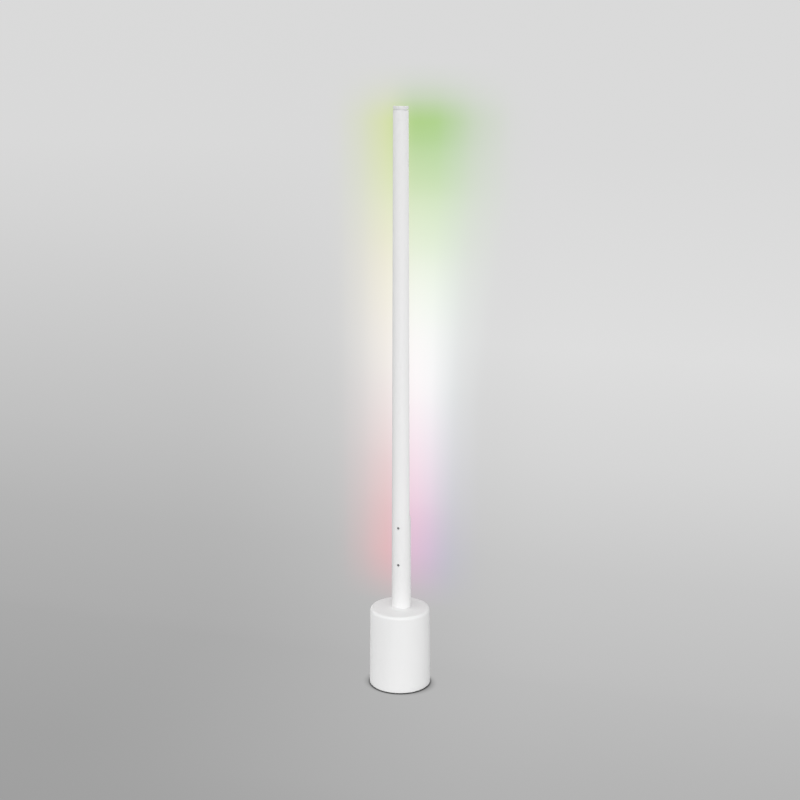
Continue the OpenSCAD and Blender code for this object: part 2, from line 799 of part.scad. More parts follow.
// Aluminium spigot that carries the bar in the stem
module bar_spigot() {
    tongue_r = pole_r(tongue_top) - bar_wall - drop_gap;
    color(aluminium) difference() {
        union() {
            translate([0, pole_y, spigot_low]) cylinder(r = stem_bore_r - fit_gap, h = spigot_l);
            intersection() {
                translate([0, pole_y, joint_z]) cylinder(r = tongue_r, h = tongue_l);
                pole_slab(joint_z, tongue_top, -reach / 2, chamber_y - drop_gap);
            }
        }
        // seat of the stem cap's plug
        pole_slab(joint_z - stem_cap_plug - fit_gap, joint_z + eps, bar_cut, reach / 2);
        // wire way up the middle, then across to the outlet under the light channel
        translate([0, pole_y, spigot_low - eps])
            cylinder(r = wire_way_r, h = slot_high - spigot_low);
        translate([-outlet_r, pole_y + outlet_y, slot_low])
            cube([2 * outlet_r, -outlet_y, slot_high - slot_low]);
        translate([0, pole_y + outlet_y, outlet_low])
            cylinder(r = outlet_r, h = joint_z - outlet_low + eps);
        for (z = screw_heights) rod_y(0, pole_y - stem_bore_r - eps, z,
            small_screw_r + fit_gap / 2, tapped_depth);
        for (z = bar_screw_z) rod_y(0, pole_y + chamber_y - tongue_r, z,
            small_screw_r + fit_gap / 2, tongue_r);
    }
}

// Two socket screws through the stem's front into the spigot
module joint_screws() {
    color(dark_steel) for (z = screw_heights)
        translate([0, pole_y - pole_r(z) + head_sink, z]) rotate([-90, 0, 0]) difference() {
            union() {
                cylinder(r = joint_head_r, h = joint_head_h);
                cylinder(r = small_screw_r, h = joint_head_h + joint_screw_l);
            }
            translate([0, 0, -eps])
                cylinder(r = joint_head_r * 0.55, h = joint_head_h * 0.7, $fn = 6);
        }
}

// Half-round cap that closes the stem's open top behind the bar
module stem_cap() {
    edge = 0.5;
    rim_r = pole_r(joint_z);
    color(white_plastic) intersection() {
        translate([0, pole_y, joint_z - stem_cap_plug]) rotate_extrude() polygon(concat(
            [[0, 0], [stem_bore_r - fit_gap, 0], [stem_bore_r - fit_gap, stem_cap_plug],
                [rim_r, stem_cap_plug]],
            arc([rim_r - edge, stem_cap_plug + stem_cap_t - edge], edge, 0, 90, 4),
            [[0, stem_cap_plug + stem_cap_t]]));
        pole_slab(joint_z - stem_cap_plug, joint_z + stem_cap_t, bar_cut + fit_gap, reach / 4);
    }
}

// ---------- light bar ----------

// Painted half-round bar: a front chamber, a web and an open light channel
module bar_housing() {
    color(white_paint) {
        difference() {
            intersection() {
                pole_cone(joint_z, cap_z);
                pole_slab(joint_z, cap_z, -reach / 2, bar_cut);
            }
            intersection() {
                pole_cone(joint_z - 1, cap_z + 1, bar_wall);
                pole_slab(joint_z - 1, cap_z + 1, channel_floor, reach / 4);
            }
            intersection() {
                pole_cone(joint_z - 1, cap_z + 1, bar_wall);
                pole_slab(joint_z - 1, cap_z + 1, -reach / 2, chamber_y);
            }
            for (z = bar_screw_z) translate([0, pole_y + channel_floor, z]) rotate([90, 0, 0])
                flat_screw_hole(small_screw_r, web_t + 1, small_head_r);
        }
        // the rails that the diffuser snaps on
        intersection() {
            difference() {
                pole_cone(joint_z, cap_z, bar_wall - eps);
                pole_cone(joint_z - 1, cap_z + 1, bar_wall + rail_w);
            }
            pole_slab(joint_z, cap_z, rail_y - rail_t, rail_y);
        }
    }
}

// Two countersunk screws through the web into the spigot's tongue
module bar_screws() {
    color(zinc) for (z = bar_screw_z) translate([0, pole_y + channel_floor, z])
        rotate([90, 0, 0]) flat_screw(small_screw_r, web_t + 3, small_head_r);
}

// Plug connector between the loom and the light strip
module strip_connector() {
    color(white_plastic) translate([-strip_w / 2, pole_y + channel_floor, connector_z])
        cube([strip_w, connector_t, connector_l]);
}

// Flexible light strip, stuck to the web
module light_strip() {
    color(white_plastic) translate([-strip_w / 2, pole_y + channel_floor, strip_low])
        cube([strip_w, strip_t, strip_high - strip_low]);
}

// Row of colour diodes on the strip
module strip_diodes() {
    color(opal) for (i = [0:led_count - 1])
        translate([-led_w / 2, pole_y + channel_floor + strip_t,
            led_start + i * led_pitch - led_w / 2])
            cube([led_w, led_h, led_w]);
}

// Opal cover over the light channel, flush with the bar's flat back
module diffuser() {
    color(opal) intersection() {
        pole_cone(joint_z + fit_gap, cap_z - fit_gap, bar_wall + fit_gap);
        pole_slab(joint_z, cap_z, diffuser_in, bar_cut);
    }
}

// Cap on the top of the bar, with a shadow groove under its head
module top_cap() {
    plug_r = pole_r(cap_z) - bar_wall - rail_w - fit_gap;
    head_z = cap_z + cap_groove_h;
    color(white_plastic) {
        // head with a rounded top edge
        intersection() {
            translate([0, pole_y, head_z]) rotate_extrude() polygon(concat(
                [[0, 0], [pole_top_r, 0]],
                arc([pole_top_r - cap_round, cap_head_h - cap_round], cap_round, 0, 90, 6),
                [[0, cap_head_h]]));
            pole_slab(head_z, lamp_h, -reach / 2, bar_cut);
        }
        // neck
        intersection() {
            translate([0, pole_y, cap_z])
                cylinder(r = pole_top_r - cap_groove_d, h = cap_groove_h + eps);
            pole_slab(cap_z, head_z + eps, -reach / 2, bar_cut - cap_groove_d);
        }
        // plug in the light channel
        intersection() {
            translate([0, pole_y, cap_z - cap_plug_l]) cylinder(r = plug_r, h = cap_plug_l + eps);
            pole_slab(cap_z - cap_plug_l, cap_z + eps, channel_floor + fit_gap,
                diffuser_in - fit_gap);
        }
    }
}

// Loom from the control board up the pole to the light strip
module light_loom() {
    loom_y = board_y + header_d / 2;
    high = header_z + header_h;
    color(wire_white) wire(0, [[loom_y, high], [loom_y, high + 6], [board_y - 6, high + 11],
        [pole_y + 4, high + 8], [pole_y, tube_low - 3], [pole_y, tube_low + 3],
        [pole_y, slot_low - 14], [pole_y, slot_low - 4], [pole_y + outlet_y, joint_z - 6],
        [pole_y + outlet_y, joint_z + 6], [pole_y + outlet_y, connector_z]], loom_r);
}

foot_pad();
base_plate();
plate_screws();
base_weight();
weight_screws();
base_cover();
cord_gland();
gland_nut();
terminal_block();
supply_wires();
driver_case();
driver_lid();
driver_board();
driver_parts();
driver_screws();
board_bracket();
bracket_screws();
control_board();
board_parts();
radio_module();
board_screws();
switch_housing();
switch_plunger();
mode_button();
driver_lead();
threaded_tube();
tube_washer();
tube_nut();
stem_foot();
stem_tube();
bar_spigot();
joint_screws();
stem_cap();
bar_housing();
bar_screws();
strip_connector();
light_strip();
strip_diodes();
diffuser();
top_cap();
light_loom();
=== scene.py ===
"""Looks of the corner floor lamp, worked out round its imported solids.

Lengths in the classes are millimetres, as in the part's source, and turn into metres when a mesh
is made. +Z is up, the front is -Y, and the light leaves the bar towards +Y.
"""

import json
import logging
import math
from collections.abc import Sequence
from dataclasses import dataclass, field
from enum import Enum
from functools import cache
from typing import Any

import bmesh
import bpy
import numpy as np
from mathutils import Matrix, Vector
from mathutils.geometry import tessellate_polygon


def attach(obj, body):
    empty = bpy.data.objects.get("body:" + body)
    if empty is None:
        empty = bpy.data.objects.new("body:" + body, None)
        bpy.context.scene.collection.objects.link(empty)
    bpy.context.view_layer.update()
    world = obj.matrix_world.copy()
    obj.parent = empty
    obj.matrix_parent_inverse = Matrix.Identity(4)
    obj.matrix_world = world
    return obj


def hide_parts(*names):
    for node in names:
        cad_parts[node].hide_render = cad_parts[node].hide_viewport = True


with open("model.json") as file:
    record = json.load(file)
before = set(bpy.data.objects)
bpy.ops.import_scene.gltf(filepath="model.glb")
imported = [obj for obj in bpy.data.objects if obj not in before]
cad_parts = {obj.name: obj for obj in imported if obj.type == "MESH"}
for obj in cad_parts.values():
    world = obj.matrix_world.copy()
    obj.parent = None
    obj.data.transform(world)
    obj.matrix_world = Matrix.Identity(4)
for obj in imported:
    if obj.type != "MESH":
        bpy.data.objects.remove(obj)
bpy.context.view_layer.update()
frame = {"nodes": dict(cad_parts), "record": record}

LOG = logging.getLogger("corner_floor_lamp")
MM = 0.001
MERGE_M = 1e-6
SHARP_DEG = 32.0
COLUMNS = 192
ORIGIN = (0.0, 0.0, 0.0)

Pair = tuple[float, float]
Triple = tuple[float, float, float]
Colour = Triple
Tone = Colour | float
Stops = Sequence[tuple[float, Tone]]
Socket = bpy.types.NodeSocket
Node = bpy.types.Node
Material = bpy.types.Material
Piece = bpy.types.Object
Tree = bpy.types.NodeTree


class Body(Enum):
    """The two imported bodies."""

    LAMP = "lamp"
    BUTTON = "button"


class Slot(Enum):
    """The record's material slots."""

    PAINT = "white_paint"
    PLASTIC = "white_plastic"
    OPAL = "opal"
    DIODES = "diodes"
    RUBBER = "pad_rubber"
    ZINC = "zinc_steel"
    DARK_STEEL = "dark_steel"
    IRON = "ballast_iron"
    ALUMINIUM = "aluminium"
    BLACK = "black_plastic"
    GREY = "grey_plastic"
    BOARD = "circuit_board"
    WIRE = "wire_white"


class Way(Enum):
    """The direction that a turned piece grows in, or the side of a wall that is opened."""

    UP = 0
    BACK = 1
    FRONT = -1


# ---------- profiles and grids ----------


def arc(centre: Pair, radius: float, start: float, end: float, steps: int) -> np.ndarray:
    """Points of an arc: centre plus radius times (cos a, sin a), with a in even steps.

    Args:
        centre: Its centre in the profile's plane.
        radius: Its radius.
        start: First angle in degrees.
        end: Last angle in degrees.
        steps: Number of chords.

    Returns:
        One row for each point.
    """
    a = np.radians(np.linspace(start, end, steps + 1))
    return np.column_stack([centre[0] + radius * np.cos(a), centre[1] + radius * np.sin(a)])


def once_round(columns: int) -> np.ndarray:
    """Angles in even steps once round, from zero."""
    return 2 * np.pi * np.arange(columns) / columns


def soft_corner(before: np.ndarray, corner: np.ndarray, after: np.ndarray) -> np.ndarray:
    """A quadratic curve round a corner: (1-t)^2 before + 2t(1-t) corner + t^2 after.

    Args:
        before: The curve's start at each height.
        corner: The corner itself.
        after: The curve's end.

    Returns:
        Heights by five points by two.
    """
    t = np.linspace(0.0, 1.0, 5)[None, :, None]
    return ((1 - t) ** 2 * before[:, None] + 2 * t * (1 - t) * corner[:, None]
            + t ** 2 * after[:, None])


def blend_rings(first: np.ndarray, last: np.ndarray, steps: int) -> np.ndarray:
    """Rings from one ring to a matching one: (1-t) first + t last, with t in even steps."""
    t = np.linspace(0.0, 1.0, steps + 1)[:, None, None]
    return (1 - t) * first[None] + t * last[None]


def quads(rows: int, cols: int, around: bool = False) -> np.ndarray:
    """The corners of every quad on a grid of points.

    Args:
        rows: Rows of points.
        cols: Columns of points.
        around: Whether the last column joins the first.

    Returns:
        Rows by columns by four.
    """
    r = np.arange(rows - 1)[:, None]
    c = np.arange(cols if around else cols - 1)[None, :]
    n = (c + 1) % cols
    return np.stack([r * cols + c, r * cols + n, (r + 1) * cols + n, (r + 1) * cols + c], -1)


def in_scene(name: str, data: bpy.types.ID) -> Piece:
    """Makes an object of a mesh, a camera or a light, and links it to the scene."""
    thing = bpy.data.objects.new(name, data)
    bpy.context.scene.collection.objects.link(thing)
    return thing


@dataclass
class Shell:
    """Bands and lids that are gathered before they become one closed mesh."""

    points: list[np.ndarray] = field(default_factory=list)
    faces: list[list[int]] = field(default_factory=list)
    count: int = 0

    def gather(self, points: np.ndarray, faces: Any) -> None:
        """Takes points and the faces between them, which count from the first of the points."""
        self.faces += (np.asarray(faces) + self.count).tolist()
        self.points.append(points.reshape(-1, 3))
        self.count += len(self.points[-1])

    def band(self, rings: np.ndarray, keep: np.ndarray | None = None) -> None:
        """Adds a sheet of quads over closed rings.

        Args:
            rings: Rings by points by three.
            keep: A mask of the quads that stay, or None for all.
        """
        faces = quads(*rings.shape[:2], around=True)
        self.gather(rings, (faces if keep is None else faces[keep]).reshape(-1, 4))

    def turn(self, profile: Any, columns: int = COLUMNS, way: Way = Way.UP, y: float = 0.0,
             z: float = 0.0, shape: np.ndarray | float = 1.0) -> None:
        """Adds a profile turned round an axis: radius times (cos a, sin a), its height along.

        Args:
            profile: Rows of (radius, distance along the axis).
            columns: Number of steps round the axis.
            way: The direction of the axis.
            y: The y of the axis' point at distance zero.
            z: The height of that point.
            shape: Factors on the radius, for faces that aren't round.
        """
        radius, along = np.hsplit(np.asarray(profile, float), 2)
        a, r = once_round(columns), radius * shape * np.ones(columns)
        across, up, along = r * np.cos(a), r * np.sin(a), np.repeat(along, columns, axis=1)
        axes = [across, up, along] if way is Way.UP else [across, along * way.value, up]
        self.band(np.stack(axes, -1) + np.array([0.0, y, z]))

    def lid(self, *loops: np.ndarray) -> None:
        """Adds a flat face that fills the first closed loop and leaves the others open."""
        flat = [[Vector(p) for p in loop.tolist()] for loop in loops]
        self.gather(np.concatenate(loops), tessellate_polygon(flat))

    def loft(self, loops: np.ndarray) -> None:
        """Adds a band over closed loops, with a lid on both ends."""
        self.band(loops)
        for end in (0, -1):
            self.lid(loops[end])

    def build(self, name: str) -> Piece:
        """Turns the gathered sheets into one object with merged seams and outward faces.

        Args:
            name: The object's name.

        Returns:
            The object, at the origin.
        """
        mesh = bpy.data.meshes.new(name)
        mesh.from_pydata(np.concatenate(self.points) * MM, [], self.faces)
        solid = bmesh.new()
        solid.from_mesh(mesh)
        bmesh.ops.remove_doubles(solid, verts=solid.verts, dist=MERGE_M)
        bmesh.ops.dissolve_degenerate(solid, edges=solid.edges, dist=MERGE_M / 10)
        bmesh.ops.recalc_face_normals(solid, faces=solid.faces)
        solid.to_mesh(mesh)
        solid.free()
        mesh.shade_smooth()
        mesh.set_sharp_from_angle(angle=math.radians(SHARP_DEG))
        return in_scene(name, mesh)


# ---------- upright walls with round openings ----------


@dataclass(frozen=True)
class Wall:
    """One face of an upright round wall: a cone between two rings about a vertical axis."""

    axis_y: float
    low_r: float
    low_z: float
    high_r: float
    high_z: float

    def radius(self, z: np.ndarray | float) -> np.ndarray | float:
        """The radius at a height, in a straight line from the low ring to the high one."""
        return self.low_r + (self.high_r - self.low_r) * (z - self.low_z) / (
            self.high_z - self.low_z)

    def rings(self, heights: np.ndarray) -> np.ndarray:
        """Rings of the wall at the given heights: radius(z) times (cos a, sin a)."""
        a, r = once_round(COLUMNS), np.asarray(self.radius(heights))[:, None]
        z = np.repeat(heights[:, None], COLUMNS, axis=1)
        return np.stack([r * np.cos(a), self.axis_y + r * np.sin(a), z], -1)

    def onto(self, x: np.ndarray, z: np.ndarray, side: Way) -> np.ndarray:
        """Points (x, z) pushed along Y onto the wall: y is the root of radius^2 less x^2."""
        y = self.axis_y + side.value * np.sqrt(self.radius(z) ** 2 - x ** 2)
        return np.stack([x, y, z], -1)


@dataclass(frozen=True)
class Opening:
    """A round opening along Y, and the square patch of the wall's grid that it is cut in."""

    height: float
    side: Way
    half: float
    clear: float = 0.0
    span: int = 6

    def rows(self) -> np.ndarray:
        """Heights of the patch's rows."""
        return np.linspace(self.height - self.half, self.height + self.half, 2 * self.span + 1)

    def columns(self) -> slice:
        """The wall's columns that the patch takes, without the last."""
        middle = COLUMNS // 4 if self.side is Way.BACK else 3 * COLUMNS // 4
        return slice(middle - self.span, middle + self.span)

    def frame_loop(self, wall: Wall) -> np.ndarray:
        """The patch's edge on the wall, as one loop of grid points."""
        cols = self.columns()
        block = wall.rings(self.rows())[:, cols.start:cols.stop + 1]
        return np.concatenate([block[0, :-1], block[:-1, -1], block[-1, :0:-1], block[:0:-1, 0]])

    def ring(self, wall: Wall, radius: float, sunk: float = 0.0,
             y: float | None = None) -> np.ndarray:
        """A ring of the opening: radius times (cos a, sin a), with a from the patch's edge.

        Args:
            wall: The wall whose patch gives the angles.
            radius: The ring's radius.
            sunk: Its depth below the wall's surface.
            y: Its place along Y, or None to lay it on the wall.

        Returns:
            The ring's points.
        """
        loop = self.frame_loop(wall)
        a = np.arctan2(loop[:, 2] - self.height, loop[:, 0])
        x, z = radius * np.cos(a), self.height + radius * np.sin(a)
        points = wall.onto(x, z, self.side)
        points[:, 1] = points[:, 1] - self.side.value * sunk if y is None else y
        return points

    def patch(self, wall: Wall, first: np.ndarray, last: np.ndarray, steps: int) -> np.ndarray:
        """Rings from one loop on the wall to another, blended in x and z and laid on it.

        Args:
            wall: The wall.
            first: The first loop.
            last: The last loop.
            steps: Number of bands.

        Returns:
            Rings by points by three.
        """
        flat = blend_rings(first, last, steps)
        laid = wall.onto(flat[..., 0], flat[..., 2], self.side)
        laid[0], laid[-1] = first, last
        return laid

    def cut(self, shell: Shell, outer: Wall, inner: Wall, mouth: Sequence[Pair],
            tunnel: Sequence[Pair]) -> None:
        """Joins a wall's two faces through the opening: patch, mouth, tunnel and patch.

        Args:
            shell: The shell that takes the rings.
            outer: The wall's outer face.
            inner: The wall's inner face.
            mouth: Rings of the mouth, as radius and depth below the outer face.
            tunnel: Rings of the tunnel, as radius and place along Y.
        """
        rings = [self.ring(outer, r, sunk) for r, sunk in mouth]
        rings += [self.ring(outer, r, y=y) for r, y in tunnel]
        foot = inner.onto(rings[-1][:, 0], rings[-1][:, 2], self.side)
        shell.band(self.patch(outer, self.frame_loop(outer), rings[0], 5))
        shell.band(np.stack(rings + [foot]))
        shell.band(self.patch(inner, foot, self.frame_loop(inner), 3))


def wall_sheet(shell: Shell, wall: Wall, openings: Sequence[Opening],
               counts: Sequence[int]) -> None:
    """Adds a wall as one band, with the patches of its openings left out.

    Args:
        shell: The shell that takes the band.
        wall: The wall.
        openings: The openings in the wall, the lowest first.
        counts: Numbers of plain rows below, between and above the openings.
    """
    ends = [wall.low_z, wall.high_z]
    for o in openings:
        ends[-1:-1] = [o.height - o.half - o.clear, o.height + o.half + o.clear]
    plain = [np.linspace(*run) for run in zip(ends[::2], ends[1::2], counts)]
    every = np.unique(np.concatenate(plain + [o.rows() for o in openings]).round(6))
    keep = np.ones((len(every) - 1, COLUMNS), bool)
    for o in openings:
        row = int(np.searchsorted(every, o.rows()[0].round(6)))
        keep[row:row + 2 * o.span, o.columns()] = False
    shell.band(wall.rings(every), keep)


# ---------- node graphs ----------


def rgba(tone: Tone) -> tuple[float, ...]:
    """A colour with full cover, from a colour or a grey value."""
    return (*(tone if isinstance(tone, tuple) else (tone,) * 3), 1.0)


@dataclass
class Graph:
    """A node tree, with short ways to add nodes and join them."""

    tree: Tree

    def feed(self, node: Node, values: dict[str | int, Any]) -> None:
        """Sets a node's inputs, by name or number, to plain values, or joins sockets to them."""
        for key, value in values.items():
            if isinstance(value, Socket):
                self.tree.links.new(value, node.inputs[key])
            else:
                node.inputs[key].default_value = value

    def add(self, kind: str, values: dict[str | int, Any] | None = None, **settings: Any) -> Node:
        """Adds a node.

        Args:
            kind: Blender's name of the node type, without its first part.
            values: Input values, or sockets to join.
            settings: The node's own settings.

        Returns:
            The node.
        """
        node = self.tree.nodes.new("ShaderNode" + kind)
        node.location.x = 180.0 * len(self.tree.nodes)
        for key, value in settings.items():
            setattr(node, key, value)
        self.feed(node, values or {})
        return node

    def math(self, operation: str, first: Any, second: Any = 0.0, clamp: bool = False) -> Socket:
        """Adds a Math node and returns its value."""
        return self.add("Math", {0: first, 1: second}, operation=operation,
                        use_clamp=clamp).outputs[0]

    def noise(self, place: Socket, scale: Any, detail: float, rough: float) -> Socket:
        """Adds a noise texture and returns its value."""
        return self.add("TexNoise", {"Vector": place, "Scale": scale, "Detail": detail,
                                     "Roughness": rough}).outputs["Fac"]

    def ramp(self, factor: Socket, stops: Stops, blend: str = "CARDINAL") -> Socket:
        """Adds a colour ramp.

        Args:
            factor: The value that the ramp reads.
            stops: Positions with their colours or greys.
            blend: How the colours run into each other.

        Returns:
            The ramp's colour.
        """
        node = self.add("ValToRGB", {"Fac": factor})
        ramp = node.color_ramp
        ramp.interpolation = blend
        while len(ramp.elements) < len(stops):
            ramp.elements.new(0.5)
        for element, (position, tone) in zip(ramp.elements, stops):
            element.position = position
            element.color = rgba(tone)
        return node.outputs["Color"]

    def between(self, value: Any, low: float, high: float, to: Pair = (0.0, 1.0),
                smooth: bool = False) -> Socket:
        """Adds a Map Range node from low..high to the given pair and returns its value."""
        return self.add("MapRange", {0: value, 1: low, 2: high, 3: to[0], 4: to[1]}, clamp=True,
                        interpolation_type="SMOOTHSTEP" if smooth else "LINEAR").outputs[0]

    def mix(self, factor: Any, first: Any, second: Any, blend: str = "MIX") -> Socket:
        """Adds a colour Mix node and returns its colour."""
        first, second = (v if isinstance(v, Socket) else rgba(v) for v in (first, second))
        return self.add("Mix", {0: factor, 6: first, 7: second}, data_type="RGBA",
                        blend_type=blend).outputs[2]


def new_group(name: str, inputs: dict[str, Any],
              outputs: Sequence[str]) -> tuple[Graph, Any, Node]:
    """Starts a shader node group with named sockets.

    Args:
        name: The group's name.
        inputs: The inputs with their first values, numbers or vectors.
        outputs: Names of the outputs.

    Returns:
        Its graph, the sockets that it is given, and its output node.
    """
    tree = bpy.data.node_groups.new(name, "ShaderNodeTree")
    for key, value in inputs.items():
        kind = "NodeSocketFloat" if isinstance(value, float) else "NodeSocketVector"
        tree.interface.new_socket(key, in_out="INPUT", socket_type=kind).default_value = value
    for key in outputs:
        tree.interface.new_socket(key, in_out="OUTPUT", socket_type="NodeSocketFloat")
    given, out = (tree.nodes.new(kind) for kind in ("NodeGroupInput", "NodeGroupOutput"))
    return Graph(tree), given.outputs, out


@cache
def grain_group() -> Tree:
    """Fine relief and slow drift that every painted, moulded or cast surface has.

    Returns:
        A group that puts out a height and two masks from 0 to 1.
    """
    graph, given, out = new_group("surface_grain", {"Place": ORIGIN, "Fine": 900.0, "Slow": 9.0},
                                  ("Height", "Grain", "Drift"))
    fine = graph.noise(given["Place"], given["Fine"], 2.0, 0.45)
    slow = graph.noise(given["Place"], given["Slow"], 3.0, 0.5)
    graph.feed(out, {"Height": fine, "Grain": graph.between(fine, 0.3, 0.7),
                     "Drift": graph.between(slow, 0.3, 0.7)})
    return graph.tree


@cache
def dust_group() -> Tree:
    """Thin dust that settles on faces that look up, broken up by noise.

    Returns:
        A group that puts out a mask from 0 to 1.
    """
    graph, given, out = new_group(
        "settled_dust", {"Place": ORIGIN, "Facing": ORIGIN, "Amount": 0.2}, ("Dust",))
    up = graph.add("SeparateXYZ", {0: given["Facing"]}).outputs["Z"]
    specks = graph.between(graph.noise(given["Place"], 260.0, 5.0, 0.7), 0.42, 0.62)
    lying = graph.math("MULTIPLY", graph.between(up, 0.55, 1.0, smooth=True), specks)
    graph.feed(out, {"Dust": graph.math("MULTIPLY", lying, given["Amount"], clamp=True)})
    return graph.tree


@cache
def strokes_group() -> Tree:
    """Long fine strokes, as brushing, rolling or turning leaves them.

    Returns:
        A group that puts out a height and a mask from 0 to 1.
    """
    graph, given, out = new_group(
        "tool_strokes", {"Place": ORIGIN, "Stretch": (900.0, 900.0, 20.0)}, ("Height", "Strokes"))
    drawn = graph.add("VectorMath", {0: given["Place"], 1: given["Stretch"]},
                      operation="MULTIPLY").outputs["Vector"]
    noise = graph.noise(drawn, 1.0, 3.0, 0.6)
    graph.feed(out, {"Height": noise, "Strokes": graph.between(noise, 0.3, 0.7)})
    return graph.tree


# ---------- finishes ----------


@dataclass(frozen=True)
class Finish:
    """A painted or moulded finish: two near colours, a roughness range and a fine relief."""

    name: str
    light: Tone
    deep: Tone
    rough: Pair
    fine: float = 900.0
    slow: float = 9.0
    relief: float = 0.02
    metallic: float = 0.0
    coat: float = 0.0
    coat_rough: float = 0.25
    specular: float = 0.5
    dust: float = 0.0
    dust_colour: Colour = (0.62, 0.61, 0.58)

    def layers(self, graph: Graph, place: Socket, grain: Any) -> dict[str, Any]:
        """Drift between the two colours, grain in roughness and relief, and dust where given.

        Args:
            graph: The material's graph.
            place: The object coordinates.
            grain: Outputs of the grain group.

        Returns:
            Values of the shader's inputs, and the height of the relief.
        """
        colour = graph.mix(grain["Drift"], self.deep, self.light)
        rough = graph.between(grain["Grain"], 0.0, 1.0, to=self.rough)
        if self.dust:
            facing = graph.add("TexCoord").outputs["Normal"]
            lying = graph.add("Group", {"Place": place, "Facing": facing, "Amount": self.dust},
                              node_tree=dust_group()).outputs["Dust"]
            colour = graph.mix(lying, colour, self.dust_colour)
            rough = graph.math("ADD", rough, lying, clamp=True)
        return {"Base Color": colour, "Roughness": rough, "Height": grain["Height"]}

    def make(self) -> Material:
        """Makes the material: the layers on one shader, with the relief as a bump.

        Returns:
            The material.
        """
        material = bpy.data.materials.new(self.name)
        material.use_nodes = True
        graph = Graph(material.node_tree)
        place = graph.add("TexCoord").outputs["Object"]
        grain = graph.add("Group", {"Place": place, "Fine": self.fine, "Slow": self.slow},
                          node_tree=grain_group())
        look = self.layers(graph, place, grain.outputs)
        bump = graph.add("Bump", {"Height": look.pop("Height"), "Strength": 1.0,
                                  "Distance": self.relief * MM})
        graph.feed(material.node_tree.nodes["Principled BSDF"], {
            "Metallic": self.metallic, "Specular IOR Level": self.specular,
            "Coat Weight": self.coat, "Coat Roughness": self.coat_rough,
            "Normal": bump.outputs["Normal"], **look})
        return material


@dataclass(frozen=True)
class Metal(Finish):
    """A bare metal finish, whose strokes run along one direction."""

    metallic: float = 1.0
    stretch: Triple = (900.0, 900.0, 20.0)

    def layers(self, graph: Graph, place: Socket, grain: Any) -> dict[str, Any]:
        """Strokes in colour, roughness and relief over a slow drift.

        Args:
            graph: The material's graph.
            place: The object coordinates.
            grain: Outputs of the grain group.

        Returns:
            Values of the shader's inputs, and the height of the relief.
        """
        drawn = graph.add("Group", {"Place": place, "Stretch": self.stretch},
                          node_tree=strokes_group()).outputs
        base = graph.mix(grain["Drift"], self.deep, self.light)
        dim = graph.between(drawn["Strokes"], 0.0, 1.0, to=(0.86, 1.0))
        rough = graph.between(drawn["Strokes"], 0.0, 1.0, to=self.rough)
        return {"Base Color": graph.mix(1.0, base, dim, "MULTIPLY"), "Roughness": rough,
                "Height": drawn["Height"]}


@dataclass(frozen=True)
class Opal(Finish):
    """A lit opal cover: colours run along its height, a little brighter at each diode."""

    low_z: float = 0.306
    high_z: float = 1.0035
    pitch: float = 0.0166
    strength: float = 1.0
    stops: Stops = (
        (0.00, (0.90, 0.12, 0.30)), (0.10, (0.95, 0.22, 0.42)), (0.24, (1.00, 0.55, 0.70)),
        (0.42, (1.00, 0.90, 0.90)), (0.62, (1.00, 0.98, 0.86)), (0.78, (0.80, 1.00, 0.45)),
        (0.92, (0.38, 0.95, 0.12)), (1.00, (0.30, 0.90, 0.08)))

    def layers(self, graph: Graph, place: Socket, grain: Any) -> dict[str, Any]:
        """A ramp over height, times a faint wave of the diodes' pitch.

        Args:
            graph: The material's graph.
            place: The object coordinates.
            grain: Outputs of the grain group.

        Returns:
            Values of the shader's inputs, and the height of the relief.
        """
        up = graph.add("SeparateXYZ", {0: place}).outputs["Z"]
        run = graph.ramp(graph.between(up, self.low_z, self.high_z), self.stops)
        turns = graph.math("MULTIPLY", graph.math("SUBTRACT", up, self.low_z),
                           2 * math.pi / self.pitch)
        wave = graph.between(graph.math("SINE", turns), -1.0, 1.0, to=(0.93, 1.0))
        return {**super().layers(graph, place, grain), "Emission Strength": self.strength,
                "Emission Color": graph.mix(1.0, run, wave, "MULTIPLY")}


@dataclass(frozen=True)
class Circuit(Finish):
    """A circuit board: copper runs under green lacquer, on a small square lattice."""

    copper: Colour = (0.09, 0.30, 0.12)

    def layers(self, graph: Graph, place: Socket, grain: Any) -> dict[str, Any]:
        """Cells of a square lattice, joined into copper runs by a threshold.

        Args:
            graph: The material's graph.
            place: The object coordinates.
            grain: Outputs of the grain group.

        Returns:
            Values of the shader's inputs, and the height of the relief.
        """
        cells = graph.add("TexVoronoi", {"Vector": place, "Scale": 420.0, "Randomness": 0.35},
                          distance="CHEBYCHEV", feature="F1")
        runs = graph.between(cells.outputs["Distance"], 0.28, 0.34)
        look = super().layers(graph, place, grain)
        return {**look, "Base Color": graph.mix(runs, look["Base Color"], self.copper),
                "Height": runs}


